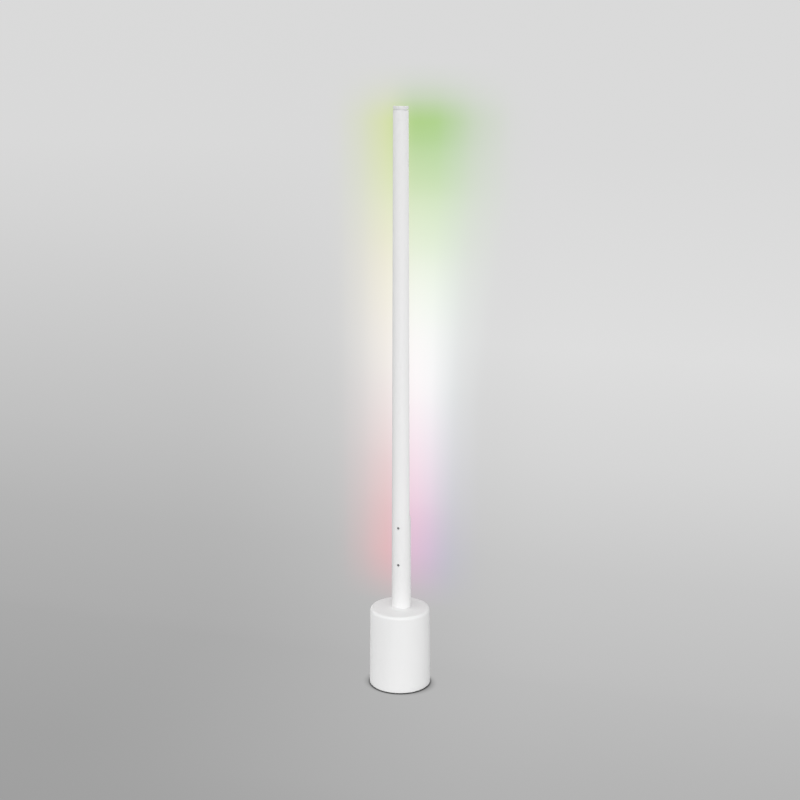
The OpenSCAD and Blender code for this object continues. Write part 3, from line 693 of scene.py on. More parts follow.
# name, light and deep colour, roughness, fine and slow pattern's scale, relief in millimetres
FINISHES: dict[Slot, Finish] = {
    Slot.PAINT: Finish("satin_white_paint", 0.86, 0.845, (0.52, 0.60), 1100.0, 7.0, 0.012,
                       coat=0.02, specular=0.28, dust=0.05),
    Slot.PLASTIC: Finish("moulded_white_plastic", 0.80, 0.78, (0.46, 0.56), 2200.0, 14.0, 0.01,
                         dust=0.05),
    Slot.OPAL: Opal("lit_opal_cover", (0.62, 0.61, 0.60), (0.58, 0.57, 0.56), (0.38, 0.46),
                    1600.0, 12.0, 0.006, strength=0.75),
    Slot.DIODES: Opal("diode_lenses", (0.95, 0.90, 0.70), (0.90, 0.84, 0.60), (0.12, 0.20),
                      3000.0, 40.0, 0.004, strength=2.0),
    Slot.RUBBER: Finish("foot_rubber", (0.055, 0.055, 0.06), (0.04, 0.04, 0.045), (0.75, 0.9),
                        1500.0, 30.0, 0.05, specular=0.3),
    Slot.ZINC: Metal("zinc_plated_steel", (0.62, 0.63, 0.65), (0.52, 0.54, 0.58), (0.26, 0.40),
                     700.0, 45.0, 0.008, stretch=(60.0, 900.0, 900.0)),
    Slot.DARK_STEEL: Metal("blackened_screw_steel", (0.34, 0.34, 0.35), (0.26, 0.26, 0.27),
                           (0.34, 0.48), 1200.0, 60.0, 0.008, stretch=(1200.0, 60.0, 1200.0)),
    Slot.IRON: Finish("cast_ballast", (0.11, 0.11, 0.115), (0.07, 0.07, 0.075), (0.6, 0.85),
                      420.0, 30.0, 0.35, metallic=0.6),
    Slot.ALUMINIUM: Metal("turned_aluminium", (0.78, 0.79, 0.80), (0.70, 0.71, 0.73),
                          (0.22, 0.36), 900.0, 30.0, 0.01, stretch=(40.0, 40.0, 1600.0)),
    Slot.BLACK: Finish("black_moulding", (0.035, 0.035, 0.04), (0.022, 0.022, 0.026),
                       (0.42, 0.58), 1800.0, 25.0, 0.03, specular=0.4),
    Slot.GREY: Finish("grey_driver_case", (0.36, 0.37, 0.39), (0.30, 0.31, 0.33), (0.50, 0.65),
                      1300.0, 20.0, 0.04),
    Slot.BOARD: Circuit("lacquered_circuit_board", (0.03, 0.20, 0.09), (0.02, 0.15, 0.065),
                        (0.22, 0.36), 1500.0, 30.0, 0.02),
    Slot.WIRE: Finish("white_wire_sheath", (0.80, 0.80, 0.77), (0.74, 0.74, 0.71), (0.40, 0.52),
                      2400.0, 40.0, 0.01),
}


@dataclass
class PaintShop:
    """Makes each finish once, puts it on pieces, and keeps the list of new pieces."""

    made: dict[Slot, Material] = field(default_factory=dict)
    pieces: list[Piece] = field(default_factory=list)

    def get(self, slot: Slot) -> Material:
        """The material of a slot, made on its first use."""
        if slot not in self.made:
            self.made[slot] = FINISHES[slot].make()
        return self.made[slot]

    def finish(self, shell: Shell, name: str, slot: Slot, node: str,
               body: Body = Body.LAMP) -> None:
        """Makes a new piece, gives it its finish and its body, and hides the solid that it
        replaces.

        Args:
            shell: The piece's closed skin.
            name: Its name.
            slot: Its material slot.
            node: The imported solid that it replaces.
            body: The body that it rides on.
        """
        piece = shell.build(name)
        piece.data.materials.append(self.get(slot))
        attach(piece, body.value)
        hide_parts(node)
        self.pieces.append(piece)
        LOG.info("%s: %d faces, %s, for %s", name, len(piece.data.polygons), slot.value, node)

    def dress_solids(self) -> None:
        """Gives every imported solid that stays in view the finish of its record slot."""
        slots = {s["node"]: Slot(s["material_slot"]) for s in frame["record"]["subparts"]}
        for name, solid in frame["nodes"].items():
            if solid.hide_render:
                continue
            for place in solid.material_slots:
                place.link = "OBJECT"
                place.material = self.get(slots[name])
            LOG.info("%s: packed solid, %s", name, slots[name].value)


# ---------- the lamp's sub-assemblies ----------


@dataclass(frozen=True)
class Pole(Wall):
    """The pole's even taper and its joint, which the stem, the bar and the cap share."""

    axis_y: float = 7.0
    low_r: float = 17.1
    low_z: float = 142.0
    high_r: float = 13.75
    high_z: float = 1003.5
    joint_z: float = 306.0


@dataclass
class DrumBase:
    """The painted drum cover with its openings at the back, and the rubber pad under it."""

    shop: PaintShop
    bottom_z: float = 1.5
    top_z: float = 142.0
    bottom_r: float = 54.0
    top_r: float = 52.5
    wall: float = 2.2
    roof: float = 4.0
    fillet: float = 5.0
    lip: float = 0.8
    hole_y: float = 7.0
    hole_r: float = 5.25
    patch_half: float = 10.0
    break_edge: float = 0.22
    break_middle: Pair = (0.35, 0.3)
    pad_r: float = 49.99
    pad_h: float = 2.5
    pad_round: float = 0.5
    pad_edge: float = 0.15
    # for the gland and the button: height, and radius and place along Y of the tunnel's rings
    tunnels: tuple[tuple[float, tuple[Pair, ...]], ...] = (
        (22.0, ((7.4, 52.281), (5.6, 52.281), (5.6, 50.081), (9.5, 50.081))),
        (78.0, ((6.3, 49.483), (9.5, 49.483))))

    def level(self, y: float, r: float, z: float) -> np.ndarray:
        """One level ring: (0, y) plus r times (cos a, sin a), at height z."""
        a = once_round(COLUMNS)
        return np.stack([r * np.cos(a), y + r * np.sin(a), np.full(COLUMNS, z)], -1)

    def cover(self) -> None:
        """Makes the cover as one closed skin: lip, wall, rounding, roof, hole and the inside.

        Each ring is a circle whose middle, radius and height change along the profile. The
        gland's and the button's openings are cut in square patches of both walls and joined
        through the wall by rings of their own.
        """
        round_in, under_z = self.fillet - self.wall, self.top_z - self.roof
        outer = Wall(0.0, self.bottom_r, self.bottom_z + self.lip, self.top_r,
                     self.top_z - self.fillet)
        inner = Wall(0.0, self.bottom_r - self.wall, self.bottom_z, self.top_r - self.wall,
                     under_z - round_in)
        roof_r, under_r = self.top_r - self.fillet, inner.high_r - round_in
        shell = Shell()
        lip = arc((self.bottom_r - self.lip, outer.low_z), self.lip, -90, 0, 6)
        for profile in (np.vstack([[inner.low_r, self.bottom_z], lip]),
                        arc((roof_r, outer.high_z), self.fillet, 0, 90, 14),
                        arc((under_r, inner.high_z), round_in, 90, 0, 8)):
            shell.turn(profile)
        hole_top, hole_low = (self.level(self.hole_y, self.hole_r, z)
                              for z in (self.top_z, under_z))
        shell.band(blend_rings(self.level(0, roof_r, self.top_z), hole_top, 8))
        shell.band(np.stack([hole_top, hole_low]))
        shell.band(blend_rings(hole_low, self.level(0, under_r, under_z), 6))
        holes = [Opening(z, Way.BACK, self.patch_half) for z, _ in self.tunnels]
        wall_sheet(shell, outer, holes, (4, 9, 12))
        wall_sheet(shell, inner, holes, (3, 5, 6))
        for hole, (_, tunnel) in zip(holes, self.tunnels):
            r, e, (out, sunk) = tunnel[0][0], self.break_edge, self.break_middle
            mouth = [(r + e, 0.0), (r + e * out, e * sunk), (r, e)]
            hole.cut(shell, outer, inner, mouth, tunnel)
        self.shop.finish(shell, "drum_cover", Slot.PAINT, "base_cover")

    def pad(self) -> None:
        """Makes the pad, a turned disc whose lower edge is rounded and top edge broken."""
        r, h, e, top = self.pad_r, self.pad_h, self.pad_round, self.pad_edge
        shell = Shell()
        shell.turn(np.vstack([[0, 0], [r * 0.5, 0], arc((r - e, e), e, -90, 0, 6), [r, h - top],
                              [r - top, h], [r * 0.5, h], [0, h]]), 160)
        self.shop.finish(shell, "rubber_pad", Slot.RUBBER, "foot_pad")

    def build(self) -> None:
        """Builds and dresses the base's pieces."""
        self.cover()
        self.pad()


@dataclass
class BackFittings:
    """The cord gland and the mode button in the back of the base."""

    shop: PaintShop
    columns: int = 96
    gland_at: Pair = (53.781, 22.0)
    gland_len: float = 10.4
    gland_r: float = 5.5
    gland_bore_r: float = 2.7
    mouth_round: float = 0.9
    flange_r: float = 7.3
    flange_t: float = 1.5
    flange_round: float = 0.45
    thread_start: float = 1.2
    thread_end: float = 0.8
    thread_pitch: float = 1.0
    thread_depth: float = 0.35
    lead_in: float = 0.4
    button_at: Pair = (53.483, 78.0)
    button_r: float = 6.0
    button_l: float = 4.1
    dish: float = 0.3
    edge: float = 0.6
    collar_r: float = 7.8
    collar_t: float = 1.4
    nub_r: float = 2.5
    nub_l: float = 1.4

    def gland(self) -> None:
        """Makes the gland, turned about +Y: bore, mouth, flange, and a threaded barrel.

        The thread's radius swings evenly between crest and root along the barrel.
        """
        bore, big, e, under = self.gland_bore_r, self.mouth_round, self.flange_round, -self.flange_t
        turns = np.arange(under - self.thread_start, -self.gland_len + self.thread_end,
                          -self.thread_pitch / 2)
        crest = np.where(np.arange(len(turns)) % 2 == 0, 0.0, self.thread_depth)
        shell = Shell()
        shell.turn(np.vstack([
            [bore, -self.gland_len], arc((bore + big, -big), big, 180, 90, 6),
            arc((self.flange_r - e, -e), e, 90, 0, 6), [self.flange_r, under],
            [self.gland_r, under], np.column_stack([self.gland_r - crest, turns]),
            [self.gland_r - self.lead_in, -self.gland_len], [bore, -self.gland_len]]),
            self.columns, Way.BACK, *self.gland_at)
        self.shop.finish(shell, "gland_body", Slot.BLACK, "cord_gland")

    def button(self) -> None:
        """Makes the button, turned about +Y: a dished face, soft edge, collar and nub.

        The face's depth falls with the square of the distance from its middle.
        """
        r, e = self.button_r, self.edge
        reach = np.linspace(0, r - e, 10)
        collar = -self.button_l
        nub = collar - self.collar_t
        shell = Shell()
        shell.turn(np.vstack([
            np.column_stack([reach, -self.dish * (1 - (reach / (r - e)) ** 2)]),
            arc((r - e, -e), e, 90, 0, 6)[1:], [r, collar], [self.collar_r, collar],
            [self.collar_r, nub], [self.nub_r, nub], [self.nub_r, nub - self.nub_l],
            [0, nub - self.nub_l]]),
            self.columns, Way.BACK, *self.button_at)
        self.shop.finish(shell, "mode_push_button", Slot.PLASTIC, "mode_button", Body.BUTTON)

    def build(self) -> None:
        """Builds and dresses the fittings."""
        self.gland()
        self.button()


@dataclass
class Stem:
    """The round stem with its two sunk joint screws and the half cap behind the bar."""

    shop: PaintShop
    pole: Pole
    bore_r: float = 13.4
    screw_heights: Pair = (223.0, 291.0)
    patch_half: float = 3.2
    patch_clear: float = 0.8
    mouth_edge: float = 0.12
    head_r: float = 2.1
    head_h: float = 1.6
    head_sink: float = 0.3
    head_round: float = 0.3
    socket_share: Pair = (0.55, 0.7)
    socket_edge: Pair = (0.12, 0.1)
    socket_cone: float = 0.35
    shank_r: float = 1.2
    shank_l: float = 6.0
    shank_edge: float = 0.2
    screw_columns: int = 72
    gap: float = 0.1
    foot_edge: float = 0.35
    top_edge: float = 0.12
    rim_h: float = 1.5
    rim_edge: float = 0.5
    rim_low: float = 0.12
    plug_h: float = 2.0
    plug_r: float = 13.3
    cap_front: float = -2.3

    def head_face(self, z: float) -> float:
        """Place of a screw head's face along Y, just below the stem's front."""
        return self.pole.axis_y - self.pole.radius(z) + self.head_sink

    def tube(self) -> None:
        """Makes the stem as one closed skin: tapered outside, bore, two stepped holes."""
        pole, low, end, bore = self.pole, self.pole.low_z, self.pole.joint_z, self.bore_r
        e, edge, mouth_r = self.foot_edge, self.mouth_edge, self.head_r + self.gap
        low_z, high_z, through_r = low + e, end - self.top_edge, self.shank_r + self.gap
        outer = Wall(pole.axis_y, pole.radius(low_z), low_z, pole.radius(high_z), high_z)
        inner = Wall(pole.axis_y, bore, low, bore, end)
        shell = Shell()
        shell.turn([[bore, low], [pole.low_r - e, low], [pole.low_r - e * 0.3, low + e * 0.3],
                    [outer.low_r, low_z]], y=pole.axis_y)
        shell.turn([[outer.high_r, high_z], [pole.radius(end) - self.top_edge, end],
                    [bore, end]], y=pole.axis_y)
        holes = [Opening(z, Way.FRONT, self.patch_half, self.patch_clear)
                 for z in self.screw_heights]
        wall_sheet(shell, outer, holes, (14, 11, 4))
        wall_sheet(shell, inner, holes, (5, 4, 2))
        for hole in holes:
            seat = self.head_face(hole.height) + self.head_h
            hole.cut(shell, outer, inner, [(mouth_r + edge, 0.0), (mouth_r, edge)],
                     [(mouth_r, seat), (through_r, seat)])
        self.shop.finish(shell, "stem", Slot.PAINT, "stem_tube")

    def screws(self) -> None:
        """Makes both screws, turned about -Y: soft head, six-sided socket and plain shank.

        In the socket the radius at angle a is the flat's distance over cos(a), folded six
        times round.
        """
        fold = (once_round(self.screw_columns) + np.pi / 6) % (np.pi / 3) - np.pi / 6
        socket, deep = self.head_r * self.socket_share[0], self.head_h * self.socket_share[1]
        e, tip, s = self.head_round, -self.head_h - self.shank_l, self.shank_edge
        profile = np.vstack([
            [0, tip], [self.shank_r - s, tip], [self.shank_r, tip + s],
            [self.shank_r, -self.head_h], [self.head_r, -self.head_h],
            arc((self.head_r - e, -e), e, 0, 90, 5), [socket + self.socket_edge[0], 0],
            [socket, -self.socket_edge[1]], [socket, -deep],
            [0, -deep - socket * self.socket_cone]])
        shape = np.ones((len(profile), self.screw_columns))
        shape[-4:-1] = math.cos(math.pi / 6) / np.cos(fold)
        shell = Shell()
        for z in self.screw_heights:
            shell.turn(profile, self.screw_columns, Way.FRONT, self.head_face(z), z, shape)
        self.shop.finish(shell, "socket_screws", Slot.DARK_STEEL, "joint_screws")

    def outline(self, radius: float, inset: float, z: float) -> np.ndarray:
        """A half round behind the bar: an arc through the back, closed by a straight front.

        Args:
            radius: Radius of the arc.
            inset: How far every edge is drawn in.
            z: The outline's height.

        Returns:
            The loop's points.
        """
        r, front = radius - inset, self.cap_front + inset
        start = math.degrees(math.asin(front / r))
        back = arc((0, 0), r, start, 180 - start, 72)
        x = np.concatenate([back[:, 0], np.linspace(back[-1, 0], back[0, 0], 13)[1:-1]])
        y = np.concatenate([back[:, 1], np.full(11, front)])
        return np.stack([x, y + self.pole.axis_y, np.full(len(x), z)], -1)

    def half_cap(self) -> None:
        """Makes the half cap: its outline is lofted through plug, rim and rounded top."""
        end, e, low = self.pole.joint_z, self.rim_edge, self.rim_low
        rim_r, top = self.pole.radius(end), end + self.rim_h
        levels = [(self.plug_r, 0.0, end - self.plug_h), (self.plug_r, 0.0, end),
                  (rim_r, low, end), (rim_r, 0.0, end + low)]
        levels += [(rim_r, max(e - w, 0.0), h) for w, h in arc((0, top - e), e, 0, 90, 6)]
        shell = Shell()
        shell.loft(np.stack([self.outline(*level) for level in levels]))
        self.shop.finish(shell, "stem_half_cap", Slot.PLASTIC, "stem_cap")

    def build(self) -> None:
        """Builds and dresses the stem's pieces."""
        self.tube()
        self.screws()
        self.half_cap()


@dataclass
class LightBar:
    """The tapering half-round bar, its opal cover and the cap on its top."""

    shop: PaintShop
    pole: Pole
    top_z: float = 1010.0
    cut: float = -2.4
    wall: float = 1.8
    channel: float = 6.2
    web: float = 1.6
    rail_w: float = 1.0
    rail_t: float = 1.0
    cover_t: float = 1.6
    gap: float = 0.1
    corner: float = 0.45
    lip: float = 0.2
    cover_edge: float = 0.3
    end_edge: float = 0.12
    end_band: float = 4.0
    head_h: float = 5.0
    head_edge: float = 0.15
    cap_corner: float = 0.5
    groove_d: float = 1.6
    cap_round: float = 0.9
    plug_l: float = 7.0
    levels: int = 60

    def edge_point(self, radius: np.ndarray, inset: float, y: float) -> np.ndarray:
        """The point at distance y on a circle: (root of (radius - inset)^2 - y^2, y)."""
        x = np.sqrt((radius - inset) ** 2 - y ** 2)
        return np.stack([x, np.full_like(x, y)], -1)

    def front_arc(self, radius: np.ndarray, flat_y: Any, short: float, steps: int) -> np.ndarray:
        """The +X half of a half round's front: radius times (sin turn, -cos turn).

        Args:
            radius: The radius at each height.
            flat_y: Place of the closing flat along Y.
            short: How far the arc ends before the flat.
            steps: Number of chords.

        Returns:
            Heights by points by two.
        """
        full = np.arccos(-flat_y / radius) - short / radius
        turn, radius = full[:, None] * np.linspace(0.0, 1.0, steps + 1), radius[:, None]
        return np.stack([radius * np.sin(turn), -radius * np.cos(turn)], -1)

    def inward(self, last: np.ndarray) -> np.ndarray:
        """Two points that close a half along its flat: halfway, and at the middle."""
        return np.stack([last * [0.5, 1.0], last * [0.0, 1.0]], 1)

    def loops(self, z: np.ndarray, *halves: np.ndarray) -> np.ndarray:
        """Closed loops about the pole's axis, from their +X half and its mirror image.

        Args:
            z: The loops' heights.
            halves: Runs of points that make up the half in turn, heights by points by two.

        Returns:
            Heights by points by three.
        """
        half = np.concatenate(halves, axis=1)
        flat = np.concatenate([half, half[:, -2:0:-1] * np.array([-1.0, 1.0])], axis=1)
        heights = np.broadcast_to(z[:, None], flat.shape[:2])
        return np.stack([flat[..., 0], flat[..., 1] + self.pole.axis_y, heights], -1)

    def bar_loops(self, radius: np.ndarray, z: np.ndarray) -> np.ndarray:
        """The bar's outline at each height, from the front round the wall into the channel.

        Args:
            radius: The pole's radius at each height.
            z: The heights.

        Returns:
            Heights by points by three.
        """
        cut, c, small = self.cut, self.corner, self.lip
        front = self.front_arc(radius, cut, c, 48)
        corner, inside = self.edge_point(radius, 0.0, cut), self.edge_point(radius, self.wall, cut)
        back = soft_corner(front[:, -1], corner, corner - [c, 0.0])[:, 1:]
        lipped = soft_corner(inside + [small, 0.0], inside,
                             self.edge_point(radius, self.wall, cut - small))
        rail_top = cut - self.cover_t - self.gap
        rail_low, floor = rail_top - self.rail_t, cut - self.channel
        steps = [self.edge_point(radius, self.wall + w, y) for w, y in (
            (0.0, rail_top), (self.rail_w, rail_top), (self.rail_w, rail_low), (0.0, rail_low),
            (0.0, (rail_low + floor) / 2), (0.0, floor))]
        return self.loops(z, front, back, lipped, np.stack(steps, 1), self.inward(steps[-1]))

    def housing(self) -> None:
        """Makes the bar: its outline and its front chamber are lofted along the taper."""
        e, low, high = self.end_edge, self.pole.joint_z, self.pole.high_z
        z = np.concatenate([[low, low + e], np.linspace(low + self.end_band,
                                                        high - self.end_band, self.levels),
                            [high - e, high]])
        radius = np.asarray(self.pole.radius(z))
        drawn = radius.copy()
        drawn[[0, -1]] -= e
        outside = self.bar_loops(drawn, z)
        front = self.front_arc(radius - self.wall, self.cut - self.channel - self.web, 0.0, 24)
        chamber = self.loops(z, front, self.inward(front[:, -1]))
        shell = Shell()
        shell.band(outside)
        shell.band(chamber)
        for end in (0, -1):
            shell.lid(outside[end], chamber[end])
        self.shop.finish(shell, "bar", Slot.PAINT, "bar_housing")

    def cover(self) -> None:
        """Makes the opal cover: a slightly soft-edged strip, lofted along the taper."""
        z = np.linspace(self.pole.joint_z + self.gap, self.pole.high_z - self.gap, self.levels)
        radius, inset, e = np.asarray(self.pole.radius(z)), self.wall + self.gap, self.cover_edge
        corner = self.edge_point(radius, inset, self.cut)
        share = np.linspace(0.0, 1.0, 7)[None, :, None]
        flat = (corner - [e, 0.0])[:, None] * [1.0, 0.0] * share + [0.0, self.cut]
        turn = soft_corner(flat[:, -1], corner, self.edge_point(radius, inset, self.cut - e))
        inner = self.edge_point(radius, inset, self.cut - self.cover_t)
        shell = Shell()
        shell.loft(self.loops(z, flat, turn[:, 1:], inner[:, None], self.inward(inner)))
        self.shop.finish(shell, "opal_cover", Slot.OPAL, "diffuser")

    def cap_loops(self, inset: np.ndarray, z: np.ndarray) -> np.ndarray:
        """The cap's half-round outline, drawn in on every side, with soft back corners.

        Args:
            inset: How far the outline is drawn in at each height.
            z: The heights.

        Returns:
            Heights by points by three.
        """
        radius, back, c = self.pole.high_r - inset, self.cut - inset, self.cap_corner
        front = self.front_arc(radius, back, c, 48)
        corner = np.stack([np.sqrt(radius ** 2 - back ** 2), back], -1)
        turn = soft_corner(front[:, -1], corner, corner - [c, 0.0])[:, 1:]
        return self.loops(z, front, turn, self.inward(corner))

    def plug_loops(self, z: np.ndarray) -> np.ndarray:
        """The plug's outline in the light channel: a slice of a circle between two flats.

        Args:
            z: The heights.

        Returns:
            Heights by points by three.
        """
        r = self.pole.high_r - self.wall - self.rail_w - self.gap
        y = np.linspace(self.cut - self.channel + self.gap, self.cut - self.cover_t - self.gap, 7)
        side = np.stack([np.sqrt(r ** 2 - y ** 2), y], -1)
        half = np.vstack([side[:1] * [0.0, 1.0], side, side[-1:] * [0.0, 1.0]])
        return self.loops(z, np.repeat(half[None], len(z), 0))

    def top_cap(self) -> None:
        """Makes the cap: its outline is lofted through neck, shadow groove and head."""
        e, d, small, neck = self.cap_round, self.groove_d, self.head_edge, self.pole.high_z
        head = self.top_z - self.head_h
        rounding = arc((0, self.top_z - e), e, 0, 90, 8)
        levels = np.vstack([[d, neck], [d, head], [small, head], [0.0, head + small],
                            np.column_stack([e - rounding[:, 0], rounding[:, 1]])])
        loops = self.cap_loops(levels[:, 0], levels[:, 1])
        plug = self.plug_loops(np.array([neck - self.plug_l, neck]))
        shell = Shell()
        shell.band(loops)
        shell.lid(loops[-1])
        shell.lid(loops[0], plug[1])
        shell.band(plug)
        shell.lid(plug[0])
        self.shop.finish(shell, "bar_cap", Slot.PLASTIC, "top_cap")

    def build(self) -> None:
        """Builds and dresses the bar's pieces."""
        self.housing()
        self.cover()
        self.top_cap()


# ---------- studio ----------


@dataclass(frozen=True)
class Panel:
    """A soft rectangular light that faces the base's axis, or looks straight down on it."""

    name: str
    power: float
    size: Pair
    height: float
    azimuth: float = 0.0
    distance: float = 0.0

    def build(self, lit: bpy.types.Collection) -> None:
        """Sets up the light, out of the camera's sight, so that it falls on some pieces only.

        Args:
            lit: The pieces that it falls on.
        """
        a, up = math.radians(self.azimuth), Vector((0.0, 0.0, 1.0))
        side = Vector((math.sin(a), -math.cos(a), 0.0))
        data = bpy.data.lights.new(self.name, "AREA")
        data.shape = "RECTANGLE"
        data.size, data.size_y = self.size
        data.energy = self.power
        light = in_scene(self.name, data)
        light.location = side * self.distance + up * self.height
        way = side if self.distance else up
        light.rotation_euler = way.to_track_quat("Z", "Y").to_euler()
        light.visible_camera = False
        light.light_linking.receiver_collection = lit


@dataclass
class Studio:
    """The camera of the photograph's view, soft light, and one pale sweep with painted light and a
    painted contact shadow.
    """

    azimuth: float = 19.6
    distance: float = 2.312
    height: float = 1.078
    pitch: float = 13.6
    lens: float = 62.7
    wall_y: float = 0.12
    bend: float = 0.05
    floor_front: float = -14.0
    rear_floor: float = 14.0
    wall_top: float = 3.0
    half_width: float = 14.0
    ambient: Pair = (1.00, 0.84)
    seen_air: float = 0.68
    key: Panel = Panel("key", 10.9, (1.2, 0.2), 0.33, 26.0, 1.8)
    edge: Panel = Panel("edge", 0.55, (0.2, 0.2), 0.12, -100.0, 0.5)
    top: Panel = Panel("top", 4.2, (1.2, 1.2), 2.3)
    glow_bounce: float = 0.35
    sweep_albedo: float = 0.03
    # painted light on the sweep: its tone, darker low down and darker on the left than on the right
    tone_run: Pair = (-0.68, 1.32)
    side_run: Pair = (-0.5, 0.3)
    left_tones: Stops = (
        (0.0, 0.32), (0.15, 0.338), (0.38, 0.385), (0.5, 0.44), (0.6, 0.513), (0.7, 0.577),
        (0.8, 0.64), (0.87, 0.674), (1.0, 0.68))
    right_tones: Stops = (
        (0.0, 0.31), (0.15, 0.414), (0.38, 0.485), (0.5, 0.553), (0.6, 0.645), (0.7, 0.709),
        (0.8, 0.692), (0.87, 0.68), (1.0, 0.68))
    # painted light of the lamp on the wall: its colours on the left and on the right, and a tint
    # further right
    warm_glow: Stops = (
        (0.15, (0.75, 0.46, 0.48)), (0.25, (0.78, 0.55, 0.56)), (0.33, (0.81, 0.66, 0.66)),
        (0.44, (0.86, 0.80, 0.77)), (0.54, (0.88, 0.84, 0.75)), (0.63, (0.83, 0.81, 0.65)),
        (0.71, (0.74, 0.78, 0.53)), (0.80, (0.66, 0.73, 0.40)))
    cool_glow: Stops = (
        (0.15, (0.68, 0.49, 0.63)), (0.25, (0.83, 0.63, 0.74)), (0.40, (0.94, 0.87, 0.90)),
        (0.52, (0.93, 0.93, 0.90)), (0.62, (0.81, 0.87, 0.73)), (0.71, (0.65, 0.77, 0.52)),
        (0.78, (0.49, 0.67, 0.34)), (0.83, (0.41, 0.62, 0.23)))
    outer_tint: Stops = (
        (0.17, (0.75, 1.0, 1.0)), (0.30, (0.82, 1.0, 1.0)), (0.42, (0.91, 1.0, 1.0)),
        (0.52, (0.95, 1.0, 1.0)))
    # where the painted glow's colours, its outer tint and its narrowing begin and end, in metres
    glow_top: float = 1.2
    glow_half: float = 0.2
    glow_turn: Pair = (-0.075, -0.01)
    tint_turn: Pair = (-0.01, 0.06)
    stretch_run: Pair = (0.5, 0.85)
    glow_stretch: Pair = (1.06, 0.72)
    glow_across: Stops = (
        (0.05, 0.0), (0.13, 0.13), (0.23, 0.48), (0.325, 0.90), (0.42, 1.0), (0.50, 1.0),
        (0.56, 0.88), (0.65, 0.43), (0.76, 0.10), (0.86, 0.0))
    glow_rise: Stops = (
        (0.07, 0.0), (0.09, 0.12), (0.12, 0.50), (0.17, 1.0), (0.80, 1.0), (0.82, 0.97),
        (0.846, 0.52), (0.867, 0.20), (0.90, 0.0))
    # the painted contact shadow: inner and outer radius in metres, and the factor inside
    contact: Triple = (0.036, 0.062, 0.21)
    contact_line: Triple = (0.0525, 0.058, 0.15)
    contact_squeeze: Triple = (0.89, 1.05, 1.0)
    contact_shift: Triple = (-0.001, 0.003, 0.0)

    def camera(self) -> None:
        """Sets up the camera: level over the base's axis, turned to it and tipped down."""
        a = math.radians(self.azimuth)
        data = bpy.data.cameras.new("camera")
        data.lens = self.lens
        data.sensor_width = 36.0
        data.clip_start, data.clip_end = 0.05, 60.0
        cam = in_scene("camera", data)
        cam.location = (self.distance * math.sin(a), -self.distance * math.cos(a), self.height)
        cam.rotation_euler = (math.radians(90.0 - self.pitch), 0.0, a)
        bpy.context.scene.camera = cam

    def sheet(self, name: str, profile: np.ndarray, finish: Material) -> None:
        """Makes one sheet of the stage: a profile in y and z, drawn out along x.

        Args:
            name: The sheet's name.
            profile: Points of the profile, in metres, with the sheet's face on their left.
            finish: Its material.
        """
        x = np.linspace(-self.half_width, self.half_width, 33)[None, :]
        grid = np.stack(np.broadcast_arrays(x, profile[:, :1], profile[:, 1:]), -1)
        mesh = bpy.data.meshes.new(name)
        mesh.from_pydata(grid.reshape(-1, 3), [], quads(*grid.shape[:2]).reshape(-1, 4).tolist())
        mesh.shade_smooth()
        mesh.materials.append(finish)
        in_scene(name, mesh)

    def sweep(self) -> None:
        """Makes floor, bend and wall as one sheet, and the floor behind the wall as another."""
        turn = arc((self.wall_y - self.bend, self.bend), self.bend, -90, 0, 16)
        front = np.linspace([self.floor_front, 0.0], turn[0], 30)[:-1]
        wall = np.linspace(turn[-1], [self.wall_y, self.wall_top], 25)[1:]
        rear = np.linspace(turn[0], [self.rear_floor, 0.0], 20)
        finish = self.sweep_finish()
        self.sheet("sweep", np.vstack([front, turn, wall]), finish)
        self.sheet("rear_floor", rear, finish)

    def glow(self, graph: Graph, x: Socket, z: Socket) -> tuple[Socket, Socket]:
        """Painted light of the lamp on the sweep: its colours in a soft band behind the bar, weaker
        in bounced light.

        Args:
            graph: The sweep's graph.
            x: Place across the sweep.
            z: Height.

        Returns:
            The colour and its share.
        """
        height = graph.between(z, 0.0, self.glow_top)
        warm, cool, outer, rise = (graph.ramp(height, stops) for stops in (
            self.warm_glow, self.cool_glow, self.outer_tint, self.glow_rise))
        glow = graph.mix(graph.between(x, *self.glow_turn, smooth=True), warm, cool)
        glow = graph.mix(graph.between(x, *self.tint_turn), glow,
                         graph.mix(1.0, glow, outer, "MULTIPLY"))
        stretch = graph.between(z, *self.stretch_run, to=self.glow_stretch)
        wide = graph.math("ADD", graph.math("MINIMUM", x, 0.0),
                          graph.math("MULTIPLY", graph.math("MAXIMUM", x, 0.0), stretch))
        reach = graph.ramp(graph.between(wide, -self.glow_half, self.glow_half),
                           self.glow_across)
        seen = graph.add("LightPath").outputs["Is Camera Ray"]
        strength = graph.between(seen, 0.0, 1.0, to=(self.glow_bounce, 1.0))
        return glow, graph.math("MULTIPLY", graph.math("MULTIPLY", reach, rise), strength)

    def painted_contact_shadow(self, graph: Graph, place: Socket) -> Socket:
        """Painted contact shadow: the tone closes in round the base as a soft ellipse of shade
        times a thin dark line of shade.

        Args:
            graph: The sweep's graph.
            place: The object coordinates.

        Returns:
            The factor on the tone.
        """
        drawn = graph.add("VectorMath", {0: place, 1: self.contact_squeeze,
                                         2: self.contact_shift},
                          operation="MULTIPLY_ADD").outputs["Vector"]
        soft, line = (graph.between(
            graph.add("VectorMath", {0: at}, operation="LENGTH").outputs["Value"], low, high,
            to=(least, 1.0), smooth=True)
            for at, (low, high, least) in ((drawn, self.contact), (place, self.contact_line)))
        return graph.math("MULTIPLY", soft, line)

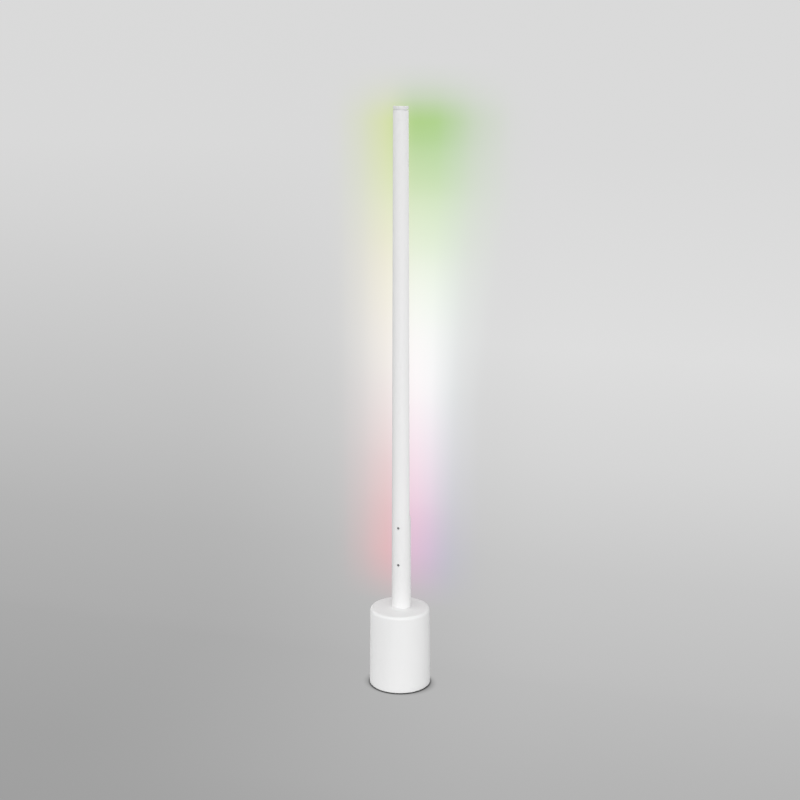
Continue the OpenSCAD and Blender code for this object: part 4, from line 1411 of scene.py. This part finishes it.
    def sweep_finish(self) -> Material:
        """Pale matt sweep: painted light that falls off to the lower left, the lamp's light painted
        on it, and a painted contact shadow round the base.

        The tone runs along the height plus the depth, with one run for the left and one for
        the right. The sweep is open to the camera from behind.

        Returns:
            The material.
        """
        material = bpy.data.materials.new("studio_sweep")
        material.use_nodes = True
        graph, nodes = Graph(material.node_tree), material.node_tree.nodes
        place = graph.add("TexCoord").outputs["Object"]
        x, y, z = graph.add("SeparateXYZ", {0: place}).outputs
        # painted light falloff: the tone runs darker low down and to the left
        along = graph.between(graph.math("ADD", y, z), *self.tone_run)
        left, right = (graph.ramp(along, tones, "LINEAR")
                       for tones in (self.left_tones, self.right_tones))
        tone = graph.mix(graph.between(x, *self.side_run, smooth=True), left, right)
        # the lamp's light painted on the sweep, and its share
        glow, share = self.glow(graph, x, z)
        # the tone and the painted glow, darkened by the painted contact shadow round the base
        lit = graph.mix(1.0, graph.mix(share, tone, glow), self.painted_contact_shadow(graph, place),
                        "MULTIPLY")
        shader = nodes["Principled BSDF"]
        graph.feed(shader, {"Roughness": 1.0, "Specular IOR Level": 0.0,
                            "Base Color": rgba(self.sweep_albedo), "Emission Color": lit,
                            "Emission Strength": 1.0})
        choice = graph.add("MixShader", {
            0: graph.add("NewGeometry").outputs["Backfacing"], 1: shader.outputs["BSDF"],
            2: graph.add("BsdfTransparent").outputs["BSDF"]})
        graph.feed(nodes["Material Output"], {"Surface": choice.outputs[0]})
        return material

    def air(self) -> None:
        """Sets up even light from all round, a little weaker from the +X side."""
        world = bpy.data.worlds.new("studio_air")
        world.use_nodes = True
        bpy.context.scene.world = world
        air = Graph(world.node_tree)
        across = air.add("SeparateXYZ", {0: air.add("TexCoord").outputs["Generated"]})
        power = air.mix(air.add("LightPath").outputs["Is Camera Ray"],
                        air.between(across.outputs["X"], -1.0, 1.0, to=self.ambient),
                        self.seen_air)
        air.feed(world.node_tree.nodes["Background"], {"Strength": power, "Color": rgba(1.0)})

    def build(self, pieces: Sequence[Piece]) -> None:
        """Sets up the view, the light and the sweep.

        Args:
            pieces: The lamp's shown pieces.
        """
        bpy.context.scene.view_settings.view_transform = "Standard"
        lamp_set, base_set = (bpy.data.collections.new(name) for name in ("lit", "lit_base"))
        for piece in pieces:
            lamp_set.objects.link(piece)
            if piece.name == "drum_cover":
                base_set.objects.link(piece)
        self.camera()
        self.sweep()
        self.air()
        for panel, lit in ((self.key, lamp_set), (self.edge, base_set), (self.top, lamp_set)):
            panel.build(lit)
        LOG.info("studio: camera at azimuth %.1f, lens %.1f mm", self.azimuth, self.lens)


def main() -> None:
    """Builds the lamp's sub-assemblies and the studio in order."""
    logging.basicConfig(level=logging.INFO, format="%(name)s: %(message)s")
    shop, pole = PaintShop(), Pole()
    for part in (DrumBase(shop), BackFittings(shop), Stem(shop, pole), LightBar(shop, pole)):
        part.build()
    shop.dress_solids()
    Studio().build(shop.pieces)
    bpy.context.view_layer.update()


if __name__ == "__main__":
    main()
